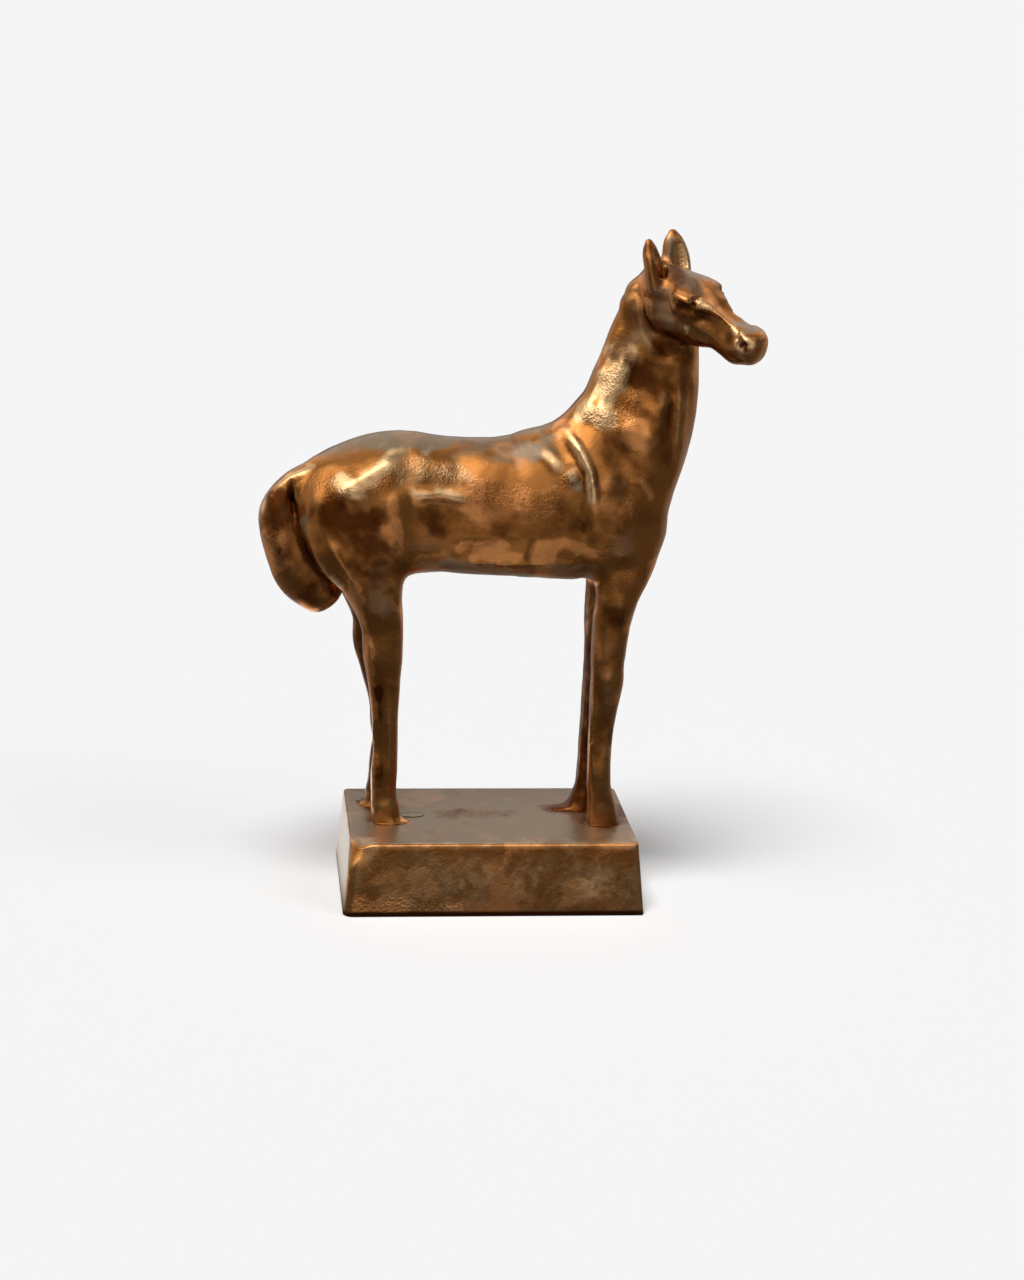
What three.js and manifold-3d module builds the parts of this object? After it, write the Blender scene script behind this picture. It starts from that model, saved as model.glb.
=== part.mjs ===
// A small bronze horse standing on a tapered plinth, horse and plinth cast in one piece.
// Millimetres, +Z up. The origin is the centre of the plinth's underside. The horse faces +X and
// turns its head towards -Y, which is called the near side here.
//
// The plinth is a loft of rounded rectangles. The horse is modelled as wax would be: forms are
// added to each other with soft joins and hollows are pressed in. Each form is a function that gives
// the distance from a point to its skin, and the skin of the whole is meshed at the end.
import * as THREE from "three";
import Module from "manifold-3d";

// Driving dimensions

const PLINTH = {
  length: 86, // along X, at the top
  width: 57, // along Y, at the top
  height: 22,
  endBatter: 2.1, // how far the foot stands out past the top at the two ends
  sideBatter: 2.2, // and at the two long sides
  cornerRadii: [1.6, 1.6, 3.2, 1.2], // from the +X +Y corner, counter-clockwise seen from above
  edgeRadius: 0.8,
};
const FOOT_CHAMFER = 0.35;
const CORNER_STEPS = 5;
const EDGE_STEPS = 4;
const GROUND = PLINTH.height; // the level that the hooves stand on
const SINK = 1.2; // how deep the hooves are let into the plinth, so that the two fuse

// The horse's middle plane leans a little across the plinth: its rump is further back than its chest.
const middleY = (x) => 0.85 - 0.027 * x;

// Each station of a swept form is [x, y, z, half depth, half width]. Half depth is measured in the
// horse's upright plane, square to the form's own line, and half width across it.

const TRUNK = {
  dock: [-51, 2.2, 118.4, 13.0, 9.5],
  buttock: [-46, 2.1, 118.4, 17.0, 12.4],
  haunch: [-38, 1.9, 118.6, 20.1, 13.8],
  croup: [-28, 1.6, 119.2, 21.4, 13.8],
  loin: [-16, 1.3, 118.8, 20.4, 12.8],
  back: [-3, 1.0, 118.3, 20.7, 13.6],
  girth: [8, 0.6, 117.6, 20.0, 13.8],
  withers: [20, 0.3, 120.1, 23.4, 12.6],
  shoulder: [29, 0, 118.4, 20.4, 11.6],
  breast: [39.8, 0, 117, 15.5, 9.8],
};

const NECK = {
  root: [32.0, 0, 120, 18.8, 11.4],
  lower: [35.8, 0, 134, 19.8, 11.0],
  base: [41.0, 0, 145, 17.8, 10.2],
  middle: [43.6, 0, 156, 15.9, 8.8],
  upper: [44.9, -0.6, 164.6, 14.4, 7.9],
  throat: [46.4, -1.2, 174.5, 11.8, 7.2],
  poll: [46.0, -2, 181, 9.9, 6.2],
};

const TAIL = {
  dock: [-53, 1.8, 128.4, 3.8, 4.0],
  crest: [-60.0, 1.8, 125.4, 4.2, 5.0],
  bend: [-64.4, 1.8, 118.6, 5.3, 6.0],
  upper: [-64.4, 1.8, 112, 5.8, 6.6],
  middle: [-61.6, 1.8, 104.5, 7.0, 7.0],
  lower: [-57.2, 1.8, 97, 8.2, 6.6],
  end: [-51.6, 1.8, 91.4, 7.0, 5.2],
};

const NEAR_HIND = {
  hip: [-41, -4.5, 119, 14.4, 8.0],
  thigh: [-40.4, -6.6, 108, 14.2, 7.0],
  stifle: [-37.5, -7.0, 99.5, 10.2, 6.4],
  gaskin: [-35.3, -7.0, 91.5, 7.4, 5.6],
  hockTop: [-33.6, -6.6, 84, 6.1, 4.6],
  hock: [-33.3, -6.2, 75, 5.9, 4.4],
  shank: [-32.6, -5.8, 66, 4.7, 3.8],
  cannon: [-32.0, -5.6, 55, 3.8, 3.4],
  lowerCannon: [-31.9, -5.4, 44, 3.5, 3.3],
  fetlock: [-32.3, -5.2, 36, 3.9, 3.7],
  pastern: [-32.2, -5.2, 30, 3.9, 3.4],
  coronet: [-31.8, -5.2, 26.5, 4.2, 3.8],
  sole: [-30.2, -5.2, GROUND - SINK, 5.2, 4.4],
};

const FAR_HIND = {
  hip: [-41, 8.5, 119, 14.4, 8.0],
  thigh: [-40.6, 10.4, 108, 13.8, 7.0],
  stifle: [-39.2, 11.2, 99.5, 11.0, 6.4],
  gaskin: [-37.4, 11.6, 91.5, 7.8, 5.6],
  hockTop: [-35.9, 12, 83, 5.9, 4.6],
  hock: [-35.6, 12, 75, 5.9, 4.4],
  shank: [-34.2, 12, 66.5, 4.8, 3.8],
  cannon: [-32.0, 12, 55, 3.8, 3.4],
  lowerCannon: [-31.6, 12, 44, 3.6, 3.3],
  fetlock: [-31.9, 12, 34, 3.9, 3.7],
  pastern: [-32.4, 12, 29, 3.8, 3.4],
  coronet: [-32.6, 12, 25.5, 4.3, 3.8],
  sole: [-32.2, 12, GROUND - SINK, 5.2, 4.4],
};

const NEAR_FORE = {
  shoulder: [39.2, -3.4, 112, 10.8, 8.2],
  arm: [38.4, -5.6, 102, 8.8, 6.6],
  forearm: [36.8, -6.8, 93, 6.3, 5.4],
  lowerForearm: [35.4, -7.2, 82, 5.2, 4.6],
  aboveKnee: [34.8, -7.4, 73, 4.7, 4.2],
  knee: [34.7, -7.4, 67, 4.6, 4.3],
  cannon: [34.0, -7.5, 57, 3.8, 3.5],
  lowerCannon: [33.1, -7.5, 45, 3.4, 3.3],
  fetlock: [33.1, -7.5, 35, 3.6, 3.6],
  pastern: [33.7, -7.5, 29.5, 4.0, 3.6],
  coronet: [34.3, -7.5, 26, 4.5, 3.9],
  sole: [34.9, -7.5, GROUND - SINK, 5.0, 4.4],
};

const FAR_FORE = {
  shoulder: [38.8, 3.4, 112, 10.8, 8.2],
  arm: [37.6, 5.6, 102, 8.8, 6.6],
  forearm: [35.4, 7, 93, 6.3, 5.4],
  lowerForearm: [34.4, 7.6, 82, 5.1, 4.6],
  aboveKnee: [34.2, 7.8, 73, 4.6, 4.2],
  knee: [34.0, 7.9, 66, 4.5, 4.3],
  cannon: [32.8, 8, 55, 3.6, 3.5],
  lowerCannon: [32.0, 8, 42, 3.4, 3.3],
  fetlock: [31.7, 8, 33, 3.6, 3.6],
  pastern: [31.4, 8, 28.5, 3.8, 3.6],
  coronet: [30.9, 8, 25.5, 4.3, 3.9],
  sole: [30.2, 8, GROUND - SINK, 5.2, 4.4],
};

// Relief of the near side, mirrored to the far side. Each stroke follows a line of [x, z] on the flank
// and lifts the skin by its rise, or presses it in below 0, fading out at its width from the line.
// A keen stroke has a ridge along its line, and the others are round.
const RELIEF = {
  hip: { line: [[-42, 126.5], [-38, 128.5]], width: 7, rise: 1.3 },
  thighFront: { line: [[-31, 134], [-30, 128], [-28.6, 117], [-27.8, 104]], width: 5, rise: 1.2 },
  thighHollow: { line: [[-38, 118], [-37, 110]], width: 6, rise: -0.8 },
  thighRear: {
    line: [[-55.4, 118], [-54, 110.5], [-49.6, 103], [-45, 96], [-41.2, 88]],
    width: 3.4,
    rise: 1,
    keen: true,
  },
  flank: { line: [[-21.5, 129], [-22.5, 117], [-22.5, 106]], width: 6, rise: -1.5 },
  upperRibs: { line: [[-22, 129], [-12, 126]], width: 7, rise: 1 },
  ribEdge: { line: [[-19, 124.3], [-11, 123.8]], width: 2.4, rise: 0.9, keen: true },
  belowRibs: { line: [[-11, 118.5], [-5, 118]], width: 5.5, rise: -1.2 },
  flankLedge: { line: [[-13, 111.8], [6, 112.5], [26, 111]], width: 3, rise: 0.7, keen: true },
  lowerFlank: { line: [[-12, 106.5], [24, 106]], width: 5, rise: -0.7 },
  shoulderBlade: {
    line: [[22, 138.6], [24.6, 134.8], [26.8, 130.5], [27.6, 124], [27.4, 118]],
    width: 3.4,
    rise: 1.4,
    keen: true,
  },
  behindShoulder: { line: [[22.5, 132.5], [20.5, 127], [22, 119]], width: 5, rise: -1.8 },
  besideWithers: { line: [[15, 134], [12, 135.5]], width: 4, rise: 0.9 },
  neckRoot: { line: [[29, 134], [34, 133.6], [40, 131.4], [45.5, 126]], width: 3.5, rise: 1 },
  aboveNeckRoot: { line: [[31, 139.5], [38, 137.5], [45, 133]], width: 5, rise: -0.8 },
  shoulder: { line: [[37, 122], [37.5, 114]], width: 9, rise: 1 },
  neckHollow: { line: [[42.5, 161], [40, 152]], width: 5, rise: -1.4 },
  neckGroove: { line: [[36.6, 165], [32.6, 152]], width: 3.4, rise: -0.6 },
  throat: { line: [[52.8, 154], [53.2, 138], [52.6, 126]], width: 3, rise: 1.2, keen: true },
  besideThroat: { line: [[49.4, 155], [49.6, 140]], width: 3, rise: -0.8 },
  gaskin: { line: [[-38.5, 95], [-36.6, 86], [-36.8, 76]], width: 2.6, rise: 0.6, keen: true },
};

// Metal smeared on the plinth around the hooves: centre on the ground, half length, width and height
const SMEARS = [
  [-32.4, -5.6, 8.4, 5.8, 1.6],
  [-21.5, -7.6, 4.4, 1.6, 0.7],
  [-33.4, 12, 7.4, 5.8, 1.4],
  [34.4, -7.8, 7.2, 5.6, 1.2],
  [28.2, 7.4, 8.2, 4.6, 1.5],
  [22.8, 5.8, 3.4, 1.8, 0.8],
];

// The head is modelled facing its own +X with the poll at its origin, then turned and set on the neck.
const HEAD = {
  at: [44.9, -1.2, 184.6],
  turn: -41, // degrees about Z, towards the near side
  nod: 21, // degrees down
  tilt: 11, // degrees about its own length, the far side up
};
const SKULL = {
  poll: [2.6, 0, 0.6, 7.6, 6.8],
  forehead: [8, 0, 0.8, 8.6, 7.6],
  brow: [14, 0, 1.6, 7.6, 8.1],
  nose: [20, 0, 0.2, 5.9, 5.6],
  bridge: [26, 0, -0.6, 5.0, 4.5],
  snout: [31, 0, -1.0, 4.8, 4.2],
  muzzle: [36.2, 0, -0.9, 5.4, 4.8],
};
const JAW = {
  gullet: [4, 0, -3.4, 5.6, 5.4],
  jowl: [10, 0, -4.0, 5.6, 6.4],
  cheek: [18, 0, -4.0, 5.5, 5.4],
  bars: [25, 0, -2.6, 4.2, 4.0],
  chin: [32.6, 0, -4.3, 3.9, 3.6],
};
// Ears are broad along the head and turned a little, and the tables below are for the near side.
const EAR = {
  root: [2.8, -4.6, 5, 4.9, 2.8],
  middle: [1.0, -5.4, 9.6, 4.2, 2.4],
  upper: [-1.0, -5.7, 13.2, 3.1, 1.9],
  tip: [-2.2, -5.8, 15.6, 1.6, 1.3],
};
const EAR_TWIST = 35;
const EAR_HOLLOW = { at: [2.9, -4.0, 12.4], size: [2.0, 1.7, 4.4], lean: -18 };
const HEAD_RELIEF = {
  brow: { line: [[10.6, 5.6], [14.6, 7.2], [19.2, 6.8]], width: 2.6, rise: 1.3, keen: true },
  eye: { line: [[13, 3.6], [16, 4]], width: 3.2, rise: -2 },
  crest: { line: [[19.5, 6], [25, 4.2], [30, 3.2], [34, 2.8]], width: 2, rise: 1.1, keen: true },
  belowCrest: { line: [[20, 1.4], [30, -0.4]], width: 3, rise: -1.3 },
  nostril: { line: [[35.8, 0.8], [37.2, 0.2]], width: 1.8, rise: -1.4 },
  jawRear: { line: [[-1.2, 9], [0.6, 6], [2, 2.4], [5.2, -4], [8.4, -8.4]], width: 2, rise: 1.1, keen: true },
  cheek: { line: [[8.5, 3], [10.5, -4]], width: 6, rise: -1.1 },
};

// The shape of each form's section: a squareness of 2 is an ellipse, and more is boxier. Pear makes it
// narrower, or wider when it is above 0, on the side where the line's own up direction points: the
// back of the trunk, the crest of the neck and the front of a leg.
const SECTIONS = {
  trunk: { squareness: 2.3, pear: -0.1 },
  neck: { squareness: 2.4, pear: -0.2 },
  leg: { squareness: 2.6 },
  tail: { squareness: 1.7 },
  skull: { squareness: 2.6 },
  jaw: { squareness: 2.3 },
};
// How wide a form's soft join with the ones before it is
const JOINS = { neck: 6, leg: 4, tail: 2, head: 2.5, smear: 3, jaw: 3, ear: 1.5, earHollow: 0.8 };

const RELIEF_REACH = 4; // further from the skin than this there is no relief
const BODY_FADE = 7; // and it fades out this close to the middle plane
const HEAD_FADE = 4;

// How finely the skin is meshed, and how many triangles are kept
const GRID = 1.3;
const BLOCK = 4; // cells on a side of a block, which is left out when the skin is far away
const KEPT_TRIANGLES = 8400;
const HEAD_LEVEL = 172; // above this the forms are small
const HEAD_CARE = 6; // and count for this much more when triangles are merged

// Forms: each is { box, distance(x, y, z) }

const SPAN_STEPS = 5; // straight pieces between two stations

function sweep(stations, { squareness = 2, pear = 0, twist = 0 } = {}) {
  const rows = Object.values(stations);
  const along3 = (pick) => new THREE.CatmullRomCurve3(rows.map(pick), false, "catmullrom", 0.5);
  const path = along3(([x, y, z]) => new THREE.Vector3(x, y, z));
  const girths = along3(([, , , depth, width]) => new THREE.Vector3(depth, width, 0));
  const count = (rows.length - 1) * SPAN_STEPS;
  const box = new THREE.Box3();
  const rings = Array.from({ length: count + 1 }, (_, i) => {
    const centre = path.getPoint(i / count);
    const girth = girths.getPoint(i / count);
    const reach = Math.max(girth.x, girth.y);
    box.expandByPoint(centre.clone().addScalar(reach));
    box.expandByPoint(centre.clone().addScalar(-reach));
    return { centre, depth: girth.x, width: girth.y };
  });
  const pieces = rings.slice(1).map((end, i) => {
    const start = rings[i];
    const along = end.centre.clone().sub(start.centre);
    const length = along.length();
    along.divideScalar(length);
    const side = new THREE.Vector3(0, 1, 0).addScaledVector(along, -along.y).normalize();
    side.applyAxisAngle(along, radians(twist));
    const up = along.clone().cross(side);
    const middle = start.centre.clone().lerp(end.centre, 0.5);
    const reach = length / 2 + Math.max(start.depth, start.width, end.depth, end.width);
    return { start, end, along, length, side, up, middle, reach };
  });
  function distance(x, y, z) {
    let best = Infinity;
    for (const { start, end, along, length, side, up, middle, reach } of pieces) {
      if (Math.hypot(x - middle.x, y - middle.y, z - middle.z) - reach > best) continue;
      const dx = x - start.centre.x;
      const dy = y - start.centre.y;
      const dz = z - start.centre.z;
      const run = dx * along.x + dy * along.y + dz * along.z;
      const share = Math.min(1, Math.max(0, run / length));
      const depth = start.depth + share * (end.depth - start.depth);
      const height = (dx * up.x + dy * up.y + dz * up.z) / depth;
      const full = start.width + share * (end.width - start.width);
      const width = full * (1 + pear * Math.min(1, Math.max(-1, height)));
      const cap = Math.min(depth, width);
      const past = Math.abs(run - share * length);
      if (past - cap > best) continue;
      const across = Math.abs(dx * side.x + dy * side.y + dz * side.z) / width;
      best = Math.min(best, fromSkin(Math.abs(height), across, past / cap, depth, width, cap, squareness));
    }
    return best;
  }
  return { box, distance };
}

// The distance to a rounded form from a point that is u, v and w of the way to its skin on its three
// axes, where it reaches a, b and c. A squareness of 2 is an ellipsoid, and more is boxier.
function fromSkin(u, v, w, a, b, c, squareness) {
  const power = squareness - 1;
  let level = Math.hypot(u, v, w);
  let slope = Math.hypot(u / a, v / b, w / c);
  if (squareness !== 2) {
    level = (u ** squareness + v ** squareness + w ** squareness) ** (1 / squareness);
    slope = Math.hypot(u ** power / a, v ** power / b, w ** power / c);
  }
  return slope > 0 ? ((level - 1) * level ** power) / slope : -Math.min(a, b, c);
}

const radians = THREE.MathUtils.degToRad;

// An ellipsoid of half sizes [a, b, c], leaned by degrees about Y.
function lump(at, [a, b, c], lean = 0) {
  const [cos, sin] = [Math.cos(radians(lean)), Math.sin(radians(lean))];
  const reach = new THREE.Vector3().setScalar(Math.max(a, b, c));
  const centre = new THREE.Vector3(...at);
  return {
    box: new THREE.Box3(centre.clone().sub(reach), centre.clone().add(reach)),
    distance(x, y, z) {
      const [dx, dz] = [x - at[0], z - at[2]];
      const u = (cos * dx - sin * dz) / a;
      const v = (y - at[1]) / b;
      const w = (sin * dx + cos * dz) / c;
      return fromSkin(Math.abs(u), Math.abs(v), Math.abs(w), a, b, c, 2);
    },
  };
}

// The same form with strokes of relief on the two sides of a middle plane, near which they fade out.
function relieved(form, strokes, middle, fadeWidth) {
  const marks = Object.values(strokes).map((stroke) => {
    const points = stroke.line.map(([x, z]) => new THREE.Vector2(x, z));
    return { ...stroke, points, box: new THREE.Box2().setFromPoints(points).expandByScalar(stroke.width) };
  });
  const spot = new THREE.Vector2();
  return {
    box: form.box,
    distance(x, y, z) {
      const d = form.distance(x, y, z);
      if (Math.abs(d) > RELIEF_REACH) return d;
      const fade = THREE.MathUtils.smoothstep(Math.abs(y - middle(x)), 0, fadeWidth);
      spot.set(x, z);
      let lift = 0;
      for (const { points, box, width, rise, keen } of marks) {
        if (!box.containsPoint(spot)) continue;
        const away = Math.min(1, distanceToLine(spot, points) / width);
        lift += rise * (keen ? (1 - away) ** 2 : (1 - away * away) ** 2);
      }
      return d - lift * fade;
    },
  };
}

function distanceToLine(spot, points) {
  let nearest = Infinity;
  for (let i = 1; i < points.length; i++) {
    const [from, to] = [points[i - 1], points[i]];
    const [dx, dy] = [to.x - from.x, to.y - from.y];
    const share = ((spot.x - from.x) * dx + (spot.y - from.y) * dy) / (dx * dx + dy * dy);
    const held = Math.min(1, Math.max(0, share));
    nearest = Math.min(nearest, Math.hypot(spot.x - from.x - held * dx, spot.y - from.y - held * dy));
  }
  return nearest;
}

// The same form, carried along by a matrix.
function placed(form, matrix) {
  const back = matrix.clone().invert();
  const local = new THREE.Vector3();
  return {
    box: form.box.clone().applyMatrix4(matrix),
    distance(x, y, z) {
      local.set(x, y, z).applyMatrix4(back);
      return form.distance(local.x, local.y, local.z);
    },
  };
}

const add = (form, blend) => ({ form, blend, sign: 1 });
const press = (form, blend) => ({ form, blend, sign: -1 });

// One form from many: each step is added with a soft join, or pressed in with a soft rim.
function sculpt(steps) {
  const box = new THREE.Box3();
  for (const { form, sign } of steps) if (sign > 0) box.union(form.box);
  const point = new THREE.Vector3();
  return {
    box,
    distance(x, y, z) {
      let d = Infinity;
      point.set(x, y, z);
      for (const { form, blend, sign } of steps) {
        if (form.box.distanceToPoint(point) > blend + Math.abs(d)) continue;
        const other = sign * form.distance(x, y, z);
        const overlap = Math.max(0, blend - Math.abs(d - other));
        const softening = (overlap * overlap) / (4 * blend || 1);
        d = sign > 0 ? Math.min(d, other) - softening : Math.max(d, other) + softening;
      }
      return d;
    },
  };
}

// The horse

function headForm() {
  const ears = [-1, 1].flatMap((side) => {
    const across = ([x, y, z, ...rest]) => [x, -side * y, z, ...rest];
    const { at, size, lean } = EAR_HOLLOW;
    return [
      add(sweep(Object.values(EAR).map(across), { twist: side * EAR_TWIST }), JOINS.ear),
      press(lump(across(at), size, lean), JOINS.earHollow),
    ];
  });
  const bones = sculpt([add(sweep(SKULL, SECTIONS.skull), 0), add(sweep(JAW, SECTIONS.jaw), JOINS.jaw)]);
  return sculpt([add(relieved(bones, HEAD_RELIEF, () => 0, HEAD_FADE), 0), ...ears]);
}

function horseForm() {
  const { at, turn, nod, tilt } = HEAD;
  const headFrame = new THREE.Matrix4()
    .makeRotationFromEuler(new THREE.Euler(radians(tilt), radians(nod), radians(turn), "ZYX"))
    .setPosition(...at);
  const body = sculpt([
    add(sweep(TRUNK, SECTIONS.trunk), 0),
    add(sweep(NECK, SECTIONS.neck), JOINS.neck),
    ...[NEAR_HIND, FAR_HIND, NEAR_FORE, FAR_FORE].map((leg) => add(sweep(leg, SECTIONS.leg), JOINS.leg)),
  ]);
  const smears = SMEARS.map(([x, y, length, width, height]) => lump([x, y, GROUND], [length, width, height]));
  return sculpt([
    add(relieved(body, RELIEF, middleY, BODY_FADE), 0),
    add(sweep(TAIL, SECTIONS.tail), JOINS.tail),
    add(placed(headForm(), headFrame), JOINS.head),
    ...smears.map((smear) => add(smear, JOINS.smear)),
  ]);
}

// The plinth: a stack of rounded rectangles, each level of which is [height, set in from the outline].
function plinthGeometry() {
  const { length, width, height, endBatter, sideBatter, cornerRadii, edgeRadius } = PLINTH;
  const levels = [[0, FOOT_CHAMFER], [FOOT_CHAMFER, 0]];
  for (let step = 0; step <= EDGE_STEPS; step++) {
    const angle = (step / EDGE_STEPS) * (Math.PI / 2);
    levels.push([height - edgeRadius * (1 - Math.sin(angle)), edgeRadius * (1 - Math.cos(angle))]);
  }
  const rings = levels.map(([z, inset]) => {
    const drop = 1 - z / height;
    const halfLength = length / 2 + endBatter * drop - inset;
    const halfWidth = width / 2 + sideBatter * drop - inset;
    const radii = cornerRadii.map((radius) => radius - inset);
    return roundedRectangle(halfLength, halfWidth, radii, z);
  });
  const count = rings[0].length;
  const triangles = [];
  rings.slice(1).forEach((ring, i) => {
    for (let n = 0; n < count; n++) {
      const [low, nextLow] = [i * count + n, i * count + ((n + 1) % count)];
      triangles.push(low, nextLow, nextLow + count, low, nextLow + count, low + count);
    }
  });
  const points = rings.flat();
  for (const [base, z, flip] of [[0, 0, true], [(rings.length - 1) * count, height, false]]) {
    const middle = points.push(new THREE.Vector3(0, 0, z)) - 1;
    for (let n = 0; n < count; n++) face(triangles, [middle, base + n, base + ((n + 1) % count)], flip);
  }
  return { positions: points.flatMap((point) => point.toArray()), triangles };
}

// The corners run counter-clockwise from the one at +X +Y.
function roundedRectangle(halfLength, halfWidth, radii, z) {
  const corners = [[1, 1], [-1, 1], [-1, -1], [1, -1]];
  return corners.flatMap(([sx, sy], corner) =>
    Array.from({ length: CORNER_STEPS + 1 }, (_, step) => {
      const angle = (corner + step / CORNER_STEPS) * (Math.PI / 2);
      const radius = radii[corner];
      const x = sx * (halfLength - radius) + radius * Math.cos(angle);
      const y = sy * (halfWidth - radius) + radius * Math.sin(angle);
      return new THREE.Vector3(x, y, z);
    }),
  );
}

function face(triangles, [a, b, c], flip) {
  triangles.push(a, flip ? c : b, flip ? b : c);
}

// Meshing

// The skin of a form as triangles, by cutting each cell of a grid into six tetrahedra.
const CELL_CORNERS = [[0, 0, 0], [1, 0, 0], [0, 1, 0], [1, 1, 0], [0, 0, 1], [1, 0, 1], [0, 1, 1], [1, 1, 1]];
const TETRAHEDRA = [[0, 1, 3, 7], [0, 3, 2, 7], [0, 2, 6, 7], [0, 6, 4, 7], [0, 4, 5, 7], [0, 5, 1, 7]];

function skin(form, step) {
  const low = form.box.min.clone().subScalar(2 * step).toArray();
  const size = form.box.getSize(new THREE.Vector3()).addScalar(4 * step).toArray();
  const [nx, ny, nz] = size.map((length) => Math.ceil(length / (step * BLOCK)) * BLOCK + 1);
  const values = new Float64Array(nx * ny * nz).fill(NaN);
  const indices = (n) => [n % nx, Math.floor(n / nx) % ny, Math.floor(n / (nx * ny))];
  const place = (i, axis) => low[axis] + step * i;
  function valueAt(n) {
    if (Number.isNaN(values[n])) values[n] = form.distance(...indices(n).map(place)) || 1e-9;
    return values[n];
  }

  const positions = [];
  const triangles = [];
  const crossings = new Map();
  // The vertex where the skin crosses the line between grid points a and b.
  function crossing(a, b) {
    const key = a < b ? a * values.length + b : b * values.length + a;
    if (!crossings.has(key)) {
      const share = values[a] / (values[a] - values[b]);
      const [p, q] = [indices(a), indices(b)];
      crossings.set(key, positions.length / 3);
      positions.push(...p.map((start, axis) => place(start + share * (q[axis] - start), axis)));
    }
    return crossings.get(key);
  }
  function cell(i, j, k) {
    const first = i + nx * (j + ny * k);
    const corners = CELL_CORNERS.map(([dx, dy, dz]) => first + dx + nx * (dy + ny * dz));
    const inside = corners.filter((n) => valueAt(n) < 0).length;
    if (inside === 0 || inside === 8) return;
    for (const tetrahedron of TETRAHEDRA) {
      const ends = tetrahedron.map((corner) => corners[corner]);
      const wet = ends.filter((n) => values[n] < 0);
      const dry = ends.filter((n) => values[n] >= 0);
      if (!wet.length || !dry.length) continue;
      const flip = oddOrder(ends, [...wet, ...dry]);
      if (wet.length === 2) {
        const ring = [[0, 0], [0, 1], [1, 1], [1, 0]].map(([w, d]) => crossing(wet[w], dry[d]));
        face(triangles, [ring[0], ring[1], ring[2]], flip);
        face(triangles, [ring[0], ring[2], ring[3]], flip);
      } else if (wet.length === 1) {
        face(triangles, dry.map((n) => crossing(wet[0], n)), flip);
      } else {
        face(triangles, wet.map((n) => crossing(n, dry[0])), flip);
      }
    }
  }
  // A block whose middle is further from the skin than this has none of it. The distances of stretched
  // forms are not exact, so this is half as much again as from a block's middle to its corner.
  const reach = 1.5 * step * BLOCK * Math.sqrt(0.75);
  function block(i, j, k) {
    const middle = [i, j, k].map((n, axis) => place(n + BLOCK / 2, axis));
    if (Math.abs(form.distance(...middle)) > reach) return;
    for (let n = 0; n < BLOCK ** 3; n++) {
      cell(i + (n % BLOCK), j + (Math.floor(n / BLOCK) % BLOCK), k + Math.floor(n / BLOCK ** 2));
    }
  }
  for (let k = 0; k < nz - 1; k += BLOCK) {
    for (let j = 0; j < ny - 1; j += BLOCK) {
      for (let i = 0; i < nx - 1; i += BLOCK) block(i, j, k);
    }
  }
  return { positions, triangles };
}

// Whether it takes an odd number of swaps to bring one order of four into the other.
function oddOrder(from, to) {
  const order = to.map((n) => from.indexOf(n));
  const swaps = order.map((place, i) => order.slice(i + 1).filter((later) => later < place).length);
  return swaps.reduce((sum, n) => sum + n) % 2 === 1;
}

const FLAT_PULL = 1e-3; // how strongly a new vertex is held to its edge's middle where the skin is flat
const LENGTH_COST = 1e-4; // what an edge's own length adds, so that short ones go first
const LEAST_AREA = 1e-3; // a merge may not leave a face smaller than this
const LEAST_TURN = 0.3; // or turn one by more than the angle with this cosine

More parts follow.
